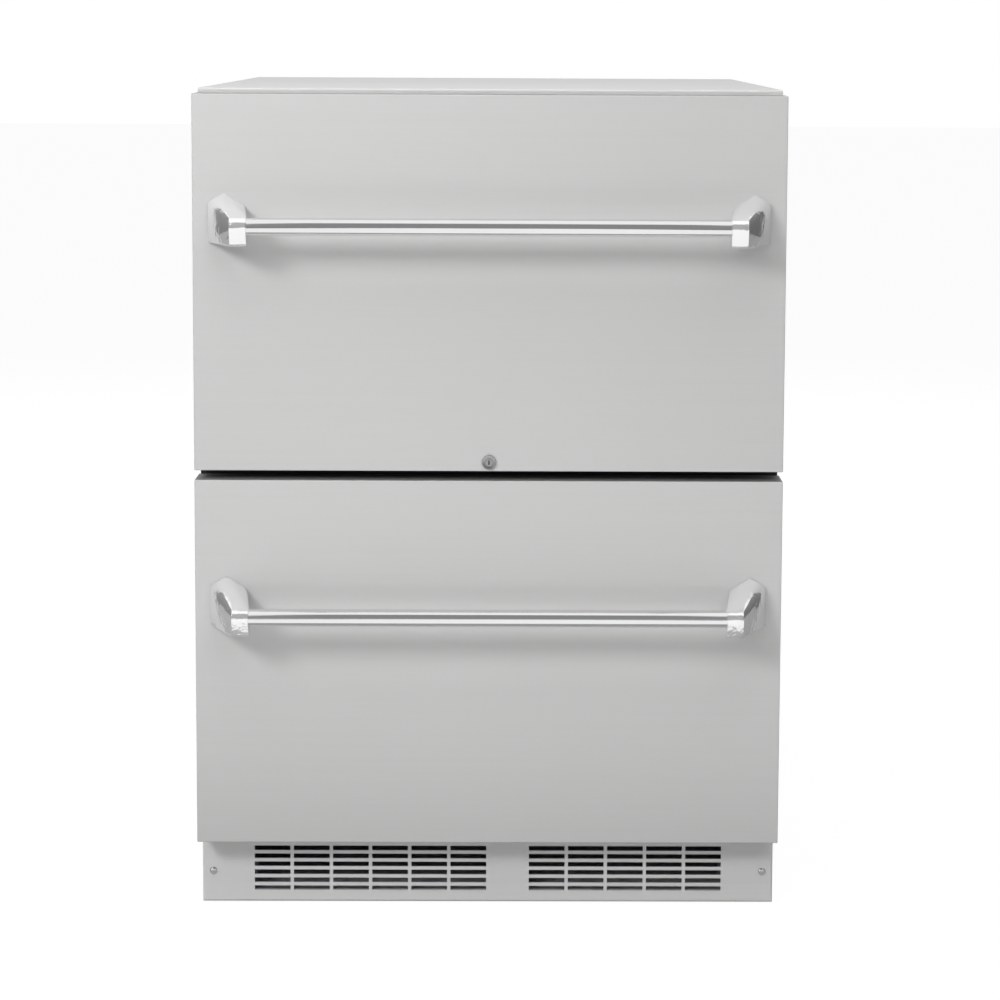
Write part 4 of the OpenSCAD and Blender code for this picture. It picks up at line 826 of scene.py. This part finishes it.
def fastener_tree():
    """Geometry nodes: an oval-head screw with a cross recess on every point, turned to the point's facing."""
    tree, given, out = shape_group("Fasteners", Points=None, Head=0.008, Rise=0.0016)
    radius = times(tree, given["Head"], 0.5)
    ball = made(tree, "GeometryNodeMeshUVSphere", {"Segments": 28, "Rings": 14, "Radius": radius})
    flat = xyz(tree, 1.0, 1.0, ratio(tree, given["Rise"], radius))
    head = made(tree, "GeometryNodeTransform", {"Geometry": ball, "Scale": flat})
    blades = place(tree, "GeometryNodeJoinGeometry")
    long, wide = (times(tree, given["Head"], part) for part in (CROSS_LENGTH, CROSS_WIDTH))
    blade = made(tree, "GeometryNodeMeshCube", {"Size": xyz(tree, long, wide, given["Rise"])})
    lift = xyz(tree, z=given["Rise"])
    for turn in (0.0, QUARTER):
        moved = made(tree, "GeometryNodeTransform", {"Geometry": blade, "Translation": lift,
                                                     "Rotation": (0, 0, turn)})
        tree.links.new(moved, blades.inputs[0])
    cut = made(tree, "GeometryNodeMeshBoolean", {"Mesh 1": head, "Mesh 2": blades.outputs[0]},
               operation="DIFFERENCE")
    facing = made(tree, "GeometryNodeInputNamedAttribute", {"Name": "facing"}, data_type="FLOAT_VECTOR")
    turned = made(tree, "FunctionNodeAlignRotationToVector", {"Vector": facing}, axis="Z")
    on_points = made(tree, "GeometryNodeInstanceOnPoints", {"Points": given["Points"], "Instance": cut,
                                                            "Rotation": turned})
    closing(tree, on_points, given["Finish"], out[0])
    return tree


def point_mesh(name, places):
    """A mesh of loose points, each with the way it faces."""
    mesh = bpy.data.meshes.new(name)
    mesh.from_pydata([p for p, facing in places], [], [])
    facing = mesh.attributes.new("facing", "FLOAT_VECTOR", "POINT")
    facing.data.foreach_set("vector", [c for p, way in places for c in way])
    return mesh


def along(start, stop, count):
    """Evenly spaced numbers from start to stop."""
    return [start + (stop - start) * i / (count - 1) for i in range(count)]


# How far the head of a grille screw and of a small screw stands out
GRILLE_SCREW_RISE = 0.0021
SCREW_RISE = 0.0014
# How far screws sit from the ends of a rail and from the edges of a box, a cover and the back
RAIL_INSET, BOX_INSET, COVER_INSET, EVAPORATOR_INSET, BACK_INSET = 0.03, 0.04, 0.008, 0.012, 0.010
# Sheet of the rails and of the boxes
RAIL_SHEET, BOX_SHEET = 0.0012, 0.001


class FRIDGE_OT_screws(Operator):
    """Screw heads of the toe grille, rear cover, slides, boxes and mouldings"""

    bl_idname = "fridge.screws"
    bl_label = "Screws"

    def execute(self, context):
        tree = fastener_tree()
        t = trim()
        low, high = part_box("grille_screws")
        head_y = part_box("toe_grille")[0].y
        screw_x = high.x - box_size("grille_screws").z / 2
        grille = [(Vector((side * screw_x, head_y, (low.z + high.z) / 2)), -Y) for side in (-1, 1)]
        self.piece(tree, "grille_screw_heads", grille, t.screw_d, GRILLE_SCREW_RISE, "polished_metal",
                   "cabinet", ["grille_screws"])
        places = self.cover_places() + self.back_places()
        for rails in (f"{drawer}_outer_rails" for drawer in DRAWERS):
            places += self.rail_places(rails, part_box(rails)[1].x - RAIL_SHEET)
        self.piece(tree, "cabinet_screws", places, t.small_screw_d, SCREW_RISE, "zinc", "cabinet", [])
        for drawer in DRAWERS:
            self.piece(tree, f"{drawer}_box_screws", self.box_places(drawer), t.small_screw_d, SCREW_RISE,
                       "zinc", f"{drawer}_drawer", [])
        return {"FINISHED"}

    def piece(self, tree, name, places, head, rise, finish, body, replaced):
        """One mesh of all the screws of one kind on one body."""
        obj = grown(tree, name, point_mesh(name, places), Head=head, Rise=rise, Finish=FINISH[finish])
        seat_object(obj, FINISH[finish], body, replaced)

    def face_points(self, node, inset, down, across):
        """Points (x, z) down both sides of a box's face, and along its top and its foot."""
        low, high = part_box(node)
        left, right, bottom, top = low.x + inset, high.x - inset, low.z + inset, high.z - inset
        sides = [(x, z) for x in (left, right) for z in along(bottom, top, down)]
        level = along(left, right, across)[1:-1]
        return sides, [(x, top) for x in level], [(x, bottom) for x in level]

    def cover_places(self):
        """Round the rim of the machine cover and at the corners of the evaporator's cover."""
        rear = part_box("machine_cover")[1].y - trim().hood_out
        sides, top, foot = self.face_points("machine_cover", COVER_INSET, 4, 5)
        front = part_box("evaporator_cover")[0].y
        corners = self.face_points("evaporator_cover", EVAPORATOR_INSET, 2, 2)[0]
        return ([(Vector((x, rear, z)), Y) for x, z in sides + top + foot]
                + [(Vector((x, front, z)), -Y) for x, z in corners])

    def back_places(self):
        """Down both sides and along the top of the back panel, sunk so far that nothing stands behind it."""
        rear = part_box("back_panel")[1].y - SCREW_RISE
        sides, top = self.face_points("back_panel", BACK_INSET, 5, 5)[:2]
        return [(Vector((x, rear, z)), Y) for x, z in sides + top]

    def rail_places(self, rails, face):
        """Three screws along each of a pair of rails, with their heads on the planes at plus and minus face."""
        low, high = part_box(rails)
        level = (low.z + high.z) / 2
        return [(Vector((side * face, y, level)), -X * side) for side in (-1, 1)
                for y in along(low.y + RAIL_INSET, high.y - RAIL_INSET, 3)]

    def box_places(self, drawer):
        """Where a box is screwed to its slides and to its front."""
        low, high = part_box(f"{drawer}_box")
        slides = self.rail_places(f"{drawer}_inner_rails", high.x - BOX_SHEET)
        sides, top, foot = self.face_points(f"{drawer}_box", BOX_INSET, 2, 4)
        return slides + [(Vector((x, low.y + BOX_SHEET, z)), Y) for x, z in sides + top + foot]


def half_turn(tree, radius, section):
    """A tube that turns back on itself."""
    arc = made(tree, "GeometryNodeCurveArc", {"Resolution": 16, "Radius": radius, "Start Angle": -QUARTER,
                                              "Sweep Angle": math.pi})
    return made(tree, "GeometryNodeCurveToMesh", {"Curve": arc, "Profile Curve": section, "Fill Caps": True})


def coil_tree():
    """Geometry nodes: upright fins on level tubes, joined in rows by bends at alternate ends."""
    tree, given, out = shape_group("Finned coil", Width=0.23, Depth=0.03, Height=0.19, Fins=25, Fin=0.0008,
                                   Rows=7, Layers=2, Layer_gap=0.014, Tube=0.008)
    joined = place(tree, "GeometryNodeJoinGeometry")
    plate = xyz(tree, given["Fin"], given["Depth"], given["Height"])
    fin = made(tree, "GeometryNodeMeshCube", {"Size": plate})
    gaps = minus(tree, given["Fins"], 1.0)
    pitch = ratio(tree, minus(tree, given["Width"], given["Fin"]), gaps)
    first = times(tree, times(tree, pitch, gaps), -0.5)
    line = made(tree, "GeometryNodeMeshLine", {"Count": given["Fins"], "Start Location": xyz(tree, first),
                                               "Offset": xyz(tree, pitch)})
    fins = made(tree, "GeometryNodeInstanceOnPoints", {"Points": line, "Instance": fin})
    tree.links.new(fins, joined.inputs[0])

    radius = times(tree, given["Tube"], 0.5)
    row_gap = ratio(tree, given["Height"], given["Rows"])
    layer_gap = given["Layer gap"]
    bends, layers_more = minus(tree, given["Rows"], 1.0), minus(tree, given["Layers"], 1.0)
    rows_up = times(tree, row_gap, bends)
    layers_back = times(tree, layer_gap, layers_more)
    places = made(tree, "GeometryNodeMeshGrid", {"Size X": rows_up, "Size Y": layers_back,
                                                 "Vertices X": given["Rows"], "Vertices Y": given["Layers"]})
    upright = made(tree, "GeometryNodeTransform", {"Geometry": places, "Rotation": (0, -QUARTER, 0)})
    tube = made(tree, "GeometryNodeMeshCylinder", {"Vertices": 24, "Radius": radius, "Depth": given["Width"]})
    level = made(tree, "GeometryNodeTransform", {"Geometry": tube, "Rotation": (0, QUARTER, 0)})
    tubes = made(tree, "GeometryNodeInstanceOnPoints", {"Points": upright, "Instance": level})
    tree.links.new(tubes, joined.inputs[0])

    bend_r = times(tree, row_gap, 0.5)
    ring = made(tree, "GeometryNodeCurvePrimitiveCircle", {"Resolution": 20, "Radius": radius})
    bend = half_turn(tree, bend_r, ring)
    stood = made(tree, "GeometryNodeTransform", {"Geometry": bend, "Rotation": (QUARTER, 0, 0)})
    low = plus(tree, times(tree, rows_up, -0.5), bend_r)
    half_width = times(tree, given["Width"], 0.5)
    for layer in (0, 1):
        from_middle = minus(tree, float(layer), times(tree, layers_more, 0.5))
        start = xyz(tree, 0.0, times(tree, layer_gap, from_middle), low)
        column = made(tree, "GeometryNodeMeshLine", {"Count": bends, "Start Location": start,
                                                     "Offset": xyz(tree, z=row_gap)})
        index = made(tree, "GeometryNodeInputIndex")
        at_left = minus(tree, 1.0, math_node(tree, "MODULO", index, 2.0))
        side = minus(tree, 1.0, times(tree, at_left, 2.0))
        moved = made(tree, "GeometryNodeSetPosition", {"Geometry": column,
                                                       "Offset": xyz(tree, times(tree, half_width, side))})
        turn = made(tree, "FunctionNodeEulerToRotation", {0: xyz(tree, z=times(tree, at_left, math.pi))})
        wanted = more(tree, given["Layers"], float(layer))
        row = made(tree, "GeometryNodeInstanceOnPoints", {"Points": moved, "Instance": stood,
                                                          "Rotation": turn, "Selection": wanted})
        tree.links.new(row, joined.inputs[0])

    # where there are two layers, a level bend joins their lowest rows
    cross = half_turn(tree, times(tree, layer_gap, 0.5), ring)
    corner = xyz(tree, half_width, 0.0, times(tree, rows_up, -0.5))
    moved = made(tree, "GeometryNodeTransform", {"Geometry": cross, "Translation": corner})
    double = more(tree, given["Layers"], 1.0)
    chosen = made(tree, "GeometryNodeSwitch", {"Switch": double, "True": moved}, input_type="GEOMETRY")
    tree.links.new(chosen, joined.inputs[0])
    closing(tree, joined.outputs[0], given["Finish"], out[0])
    return tree


# Each coil's number of fins, their thickness, and its rows and layers of tube
COILS = {"condenser": (26, 0.0008, 8, 2), "evaporator": (27, 0.001, 5, 1)}
# Distance between two layers of tube as a share of a coil's depth
LAYER_SHARE = 0.46


class FRIDGE_OT_coils(Operator):
    """Fins, tubes and bends of the condenser and the evaporator"""

    bl_idname = "fridge.coils"
    bl_label = "Coils"

    def execute(self, context):
        tree = coil_tree()
        tube = trim().coil_tube_d
        for node, (fins, fin, rows, layers) in COILS.items():
            low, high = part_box(node)
            size = high - low
            width = size.x - size.z / rows - tube
            finish = FINISH[finish_of(node)]
            coil = grown(tree, f"{node}_coil", Width=width, Depth=size.y, Height=size.z, Fins=fins, Fin=fin,
                         Rows=rows, Layers=layers, Layer_gap=LAYER_SHARE * size.y, Tube=tube, Finish=finish)
            coil.data.transform(Matrix.Translation((low + high) / 2))
            seat_object(coil, finish, "cabinet", [node])
        return {"FINISHED"}


# ---------- gaskets and legs ----------

# Half the section of a gasket, as shares of its width inwards and of its thickness backwards: a base strip,
# a soft bellows and the flat lip that holds the magnet. The other half mirrors it
GASKET_HALF = ((1.00, 0.00), (1.00, 0.20), (0.86, 0.28), (0.80, 0.36), (0.84, 0.46), (0.96, 0.55),
               (1.00, 0.70), (0.97, 0.90), (0.90, 1.00))
GASKET_SECTION = GASKET_HALF + tuple((1 - u, v) for u, v in reversed(GASKET_HALF))


class FRIDGE_OT_gaskets(Operator):
    """Magnetic gaskets behind the drawer fronts, mitred at the corners"""

    bl_idname = "fridge.gaskets"
    bl_label = "Gaskets"

    def execute(self, context):
        width = trim().gasket_w
        for drawer in DRAWERS:
            node = f"{drawer}_gasket"
            low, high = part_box(node)
            thick = high.y - low.y
            bm = bmesh.new()
            corners = [(low.x, low.z, 1, 1), (high.x, low.z, -1, 1), (high.x, high.z, -1, -1),
                       (low.x, high.z, 1, -1)]
            rings = [[bm.verts.new((x + right * u * width, low.y + v * thick, z + up * u * width))
                      for u, v in GASKET_SECTION] for x, z, right, up in corners]
            for here, there in zip(rings, rings[1:] + rings[:1]):
                skin(bm, here, there, len(GASKET_SECTION))
            finish_object(f"{drawer}_gasket_ring", bm, FINISH["gasket_rubber"], BODY_OF[node], [node],
                          crease=40.0)
        return {"FINISHED"}


def lathe(bm, profile, base, sides):
    """A turned shape round the upright through base, where its (radius, height) points start and end."""
    rings = []
    for radius, height in profile:
        centre = base + Z * height
        rings.append([bm.verts.new(centre)] if radius == 0 else
                     [bm.verts.new(p) for p in circle_points(centre, X, Y, radius, sides)])
    for lower, upper in zip(rings, rings[1:]):
        skin(bm, lower, upper, sides)


def thread_tree():
    """Geometry nodes: one ridge that winds up a stem, from the origin."""
    tree, given, out = shape_group("Thread", Radius=0.005, Pitch=0.0015, Length=0.03)
    ridge = times(tree, given["Pitch"], 0.5)
    line = minus(tree, given["Radius"], ridge)
    turns = ratio(tree, given["Length"], given["Pitch"])
    spiral = made(tree, "GeometryNodeCurveSpiral", {"Resolution": 24, "Rotations": turns,
                                                    "Start Radius": line, "End Radius": line,
                                                    "Height": given["Length"]})
    section = made(tree, "GeometryNodeCurvePrimitiveCircle", {"Resolution": 4, "Radius": ridge})
    swept = made(tree, "GeometryNodeCurveToMesh", {"Curve": spiral, "Profile Curve": section,
                                                   "Fill Caps": True})
    closing(tree, swept, given["Finish"], out[0])
    return tree


# Profile of a leg's pad, as shares of its radius and its height
PAD_PROFILE = ((0, 0), (0.90, 0), (1, 0.2), (1, 0.45), (0.95, 0.6), (0.66, 0.93), (0.60, 1), (0, 1))
# Top of a leg's pad and of its hexagon above the floor, and the chamfer of the hexagon
LEG_HEIGHTS = (0.006, 0.011, 0.0006)
# Width across the hexagon's flats as a share of the stem's diameter
HEXAGON = 1.6
# How deep the thread is cut as a share of its pitch
THREAD_DEPTH = 0.35


class FRIDGE_OT_legs(Operator):
    """Levelling legs: a turned pad, a hexagon and a threaded stem"""

    bl_idname = "fridge.legs"
    bl_label = "Legs"

    def execute(self, context):
        tree = thread_tree()
        t = trim()
        for node in sorted(NODES):
            if node.startswith("leg_"):
                self.leg(tree, node, t.stem_d / 2, t.thread_pitch)
        return {"FINISHED"}

    def leg(self, tree, node, stem_r, pitch):
        """One leg in place of its solid."""
        low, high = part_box(node)
        base = Vector(((low.x + high.x) / 2, (low.y + high.y) / 2, low.z))
        pad_r, top = (high.x - low.x) / 2, high.z - low.z
        pad_h, nut_top, chamfer = LEG_HEIGHTS
        bm = bmesh.new()
        lathe(bm, [(across * pad_r, up * pad_h) for across, up in PAD_PROFILE], base, 64)
        hexagon = HEXAGON * stem_r / math.cos(math.pi / 6)
        lathe(bm, [(0, pad_h), (0.92 * hexagon, pad_h), (hexagon, pad_h + chamfer),
                   (hexagon, nut_top - chamfer), (0.92 * hexagon, nut_top), (0, nut_top)], base, 6)
        core = stem_r - THREAD_DEPTH * pitch
        lathe(bm, [(0, nut_top), (core, nut_top), (core, top - pitch), (0.8 * core, top), (0, top)], base, 32)
        thread = grown(tree, f"{node}_thread", Radius=stem_r, Pitch=pitch, Length=top - nut_top - 2 * pitch,
                       Finish=FINISH["zinc"])
        thread.data.transform(Matrix.Translation(base + Z * (nut_top + pitch / 2)))
        bm.from_mesh(thread.data)
        bpy.data.objects.remove(thread)
        finish_object(f"{node}_turned", bm, FINISH["zinc"], BODY_OF[node], [node], crease=40.0)


# ---------- the solids that keep their shape ----------


class FRIDGE_OT_solids(Operator):
    """Finishes on the solids that need no other shape"""

    bl_idname = "fridge.solids"
    bl_label = "Solids"

    def execute(self, context):
        for name, obj in NODES.items():
            obj.data.materials.clear()
            obj.data.materials.append(FINISH[finish_of(name)])
        return {"FINISHED"}


# ---------- studio ----------


WHITE = (1, 1, 1, 1)
# Middle of the solids, which most lamps face
MIDDLE = (SOLID_BOX[0] + SOLID_BOX[1]) / 2
# Floor: its own grey, the strength of its glow, and the shares of the glow that the camera and metal see
FLOOR_GREY, FLOOR_GLOW, GLOW_SEEN, GLOW_MIRRORED = 0.22, 1.28, 0.75, 0.1
# Lamps that metal doesn't mirror: name, place, what it faces, width and height, and the setting of its power
LAMPS = (
    ("key", (-1.5, -2.2, 1.95), MIDDLE, (0.9, 0.7), "key_power"),
    ("fill", (1.2, -2.3, 1.95), MIDDLE, (0.9, 0.7), "fill_power"),
    ("brow", (0, -1.1, 2.2), MIDDLE, (1.6, 0.8), "brow_power"),
    ("low", (0, -1.3, 0.10), (0, 0, 0.03), (1.2, 0.15), "low_power"),
    ("rear", (0, 3.0, 1.8), MIDDLE, (2.4, 1.6), "rear_power"),
    ("overhead", (0, 1.2, 3.2), (0, 0, 0), (3.0, 3.0), "top_power"),
    ("side", (-2.6, 0.6, 1.6), MIDDLE, (2.0, 2.0), "side_power"),
    ("side", (2.6, 0.6, 1.6), MIDDLE, (2.0, 2.0), "side_power"),
)
# Cards that only metal mirrors: name, place, what it faces, width and height, and how bright it is
CARDS = (
    ("front card", (0, -3.3, 2.86), (0, 0, 2.86), (3.4, 4.88), 0.27),
    ("floor card", (0, -4.25, 0.03), (0, -4.25, 1.0), (2.2, 7.5), 1.0),
    ("right card", (2.5, -2.6, 1.6), MIDDLE, (1.8, 3.4), 0.40),
    ("side card", (-2.6, 0.6, 1.8), (0, 0.6, 1.8), (5.0, 3.6), 0.08),
    ("side card", (2.6, 0.6, 1.8), (0, 0.6, 1.8), (5.0, 3.6), 0.08),
    ("board", (0, 2.2, 1.3), (0, 0, 1.3), (3.2, 1.4), 0.55),
)
# Camera: its place, measured along Y from the fronts' face, its turn in degrees, and its frame's shift
CAMERA_PLACE = (0.0242, -2.2869, 0.9213)
CAMERA_DOWN, CAMERA_ROLL, CAMERA_RIGHT = 5.0, 0.28, 0.43
CAMERA_SHIFT = (-0.0303, -0.2697)


def studio_world():
    """Even light from all round, and white where the camera, metal or glass looks past the object."""
    world = bpy.data.worlds.new("studio")
    bpy.context.scene.world = world
    tree = cleared(world)
    ray = place(tree, "ShaderNodeLightPath").outputs
    direct = plus(tree, ray["Is Camera Ray"], ray["Is Glossy Ray"])
    seen = plus(tree, direct, ray["Is Transmission Ray"], clamp=True)
    room = made(tree, "ShaderNodeBackground", {"Color": WHITE, "Strength": studio().room_light})
    white = made(tree, "ShaderNodeBackground", {"Color": WHITE, "Strength": 1.0})
    mixed = made(tree, "ShaderNodeMixShader", {0: seen, 1: room, 2: white})
    place(tree, "ShaderNodeOutputWorld", {"Surface": mixed})


def floor_material():
    """White floor that keeps the object's shadow: it glows for the camera and is lit like paper for metal."""
    material = bpy.data.materials.new("studio floor")
    tree = cleared(material)
    ray = place(tree, "ShaderNodeLightPath").outputs
    matt = made(tree, "ShaderNodeBsdfDiffuse", {"Color": (FLOOR_GREY, FLOOR_GREY, FLOOR_GREY, 1)})
    glow = made(tree, "ShaderNodeEmission", {"Color": WHITE, "Strength": FLOOR_GLOW})
    mirrored = times(tree, ray["Is Glossy Ray"], GLOW_MIRRORED)
    amount = plus(tree, times(tree, ray["Is Camera Ray"], GLOW_SEEN), mirrored)
    mixed = made(tree, "ShaderNodeMixShader", {0: amount, 1: matt, 2: glow})
    place(tree, "ShaderNodeOutputMaterial", {"Surface": mixed})
    return material


def glowing(name, level):
    """A material that gives off an even light."""
    material = bpy.data.materials.new(name)
    tree = cleared(material)
    light = made(tree, "ShaderNodeEmission", {"Color": WHITE, "Strength": level})
    place(tree, "ShaderNodeOutputMaterial", {"Surface": light})
    return material


def sheet(name, size, matrix, material):
    """A flat sheet of the stage, with its corners at plus and minus size before the matrix places it."""
    bm = bmesh.new()
    bmesh.ops.create_grid(bm, x_segments=1, y_segments=1, size=size)
    bmesh.ops.transform(bm, matrix=matrix, verts=bm.verts)
    obj = added(name, mesh_of(bm, name))
    obj.data.materials.append(material)
    return obj


def card(name, place_at, aim, size, level):
    """A grey card that only metal sees, as in a product studio."""
    centre = Vector(place_at)
    turn = (Vector(aim) - centre).to_track_quat("Z", "Y").to_matrix().to_4x4()
    matrix = Matrix.Translation(centre) @ turn @ Matrix.Diagonal((*size, 1, 1))
    obj = sheet(name, 0.5, matrix, glowing(name, level))
    obj.visible_camera = False
    obj.visible_diffuse = False
    obj.visible_shadow = False


def lamp(name, place_at, aim, size, setting):
    """A large soft light."""
    light = bpy.data.lights.new(name, "AREA")
    light.shape = "RECTANGLE"
    light.size, light.size_y = size
    light.energy = getattr(studio(), setting)
    obj = added(name, light)
    obj.location = place_at
    obj.rotation_euler = (Vector(aim) - Vector(place_at)).to_track_quat("-Z", "Y").to_euler()
    obj.visible_glossy = False


class FRIDGE_OT_stage(Operator):
    """White floor, soft light and a camera at the photograph's angle"""

    bl_idname = "fridge.stage"
    bl_label = "Studio"

    def execute(self, context):
        studio_world()
        sheet("floor", 20.0, Matrix.Identity(4), floor_material())
        for row in LAMPS:
            lamp(*row)
        for row in CARDS:
            card(*row)
        self.camera(context)
        context.scene.view_settings.view_transform = "Standard"
        return {"FINISHED"}

    def camera(self, context):
        """A nearly level camera with its frame dropped, as a view camera is set for upright lines."""
        data = bpy.data.cameras.new("camera")
        data.lens = studio().lens
        data.sensor_width = 36.0
        data.shift_x, data.shift_y = CAMERA_SHIFT
        data.clip_end = 100.0
        obj = added("camera", data)
        obj.location = Vector(CAMERA_PLACE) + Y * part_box("upper_front_skin")[0].y
        down, roll, right = (math.radians(a) for a in (CAMERA_DOWN, CAMERA_ROLL, CAMERA_RIGHT))
        level = Matrix.Rotation(-right, 4, "Z") @ Matrix.Rotation(QUARTER - down, 4, "X")
        obj.rotation_euler = (level @ Matrix.Rotation(roll, 4, "Z")).to_euler()
        context.scene.camera = obj


class FRIDGE_PT_sidebar(Panel):
    """Shows the settings and a button for each building step in the 3D view's sidebar."""

    bl_idname = "FRIDGE_PT_sidebar"
    bl_label = "Refrigerator"
    bl_space_type = "VIEW_3D"
    bl_region_type = "UI"
    bl_category = "Refrigerator"

    def draw(self, context):
        for name, group in SETTINGS.items():
            box = self.layout.box()
            box.label(text=group.__doc__)
            for prop in group.__annotations__:
                box.prop(getattr(context.scene, name), prop)
        for operator in OPERATORS:
            self.layout.operator(operator.bl_idname)


OPERATORS = (FRIDGE_OT_solids, FRIDGE_OT_eased, FRIDGE_OT_fronts, FRIDGE_OT_handles, FRIDGE_OT_screws,
             FRIDGE_OT_coils, FRIDGE_OT_gaskets, FRIDGE_OT_legs, FRIDGE_OT_stage)
CLASSES = (*SETTINGS.values(), *OPERATORS, FRIDGE_PT_sidebar)
FINISH = {}


def register():
    """Registers the classes and puts the settings on the scene."""
    for cls in CLASSES:
        bpy.utils.register_class(cls)
    for name, group in SETTINGS.items():
        setattr(bpy.types.Scene, name, PointerProperty(type=group))


def unregister():
    """Takes the settings and the classes away again."""
    for name in SETTINGS:
        delattr(bpy.types.Scene, name)
    for cls in reversed(CLASSES):
        bpy.utils.unregister_class(cls)


def main():
    """Registers the add-on, makes the finishes and builds every piece in order."""
    register()
    FINISH.update(build_materials())
    for operator in OPERATORS:
        group, name = operator.bl_idname.split(".")
        getattr(getattr(bpy.ops, group), name)()


if __name__ == "__main__":
    main()
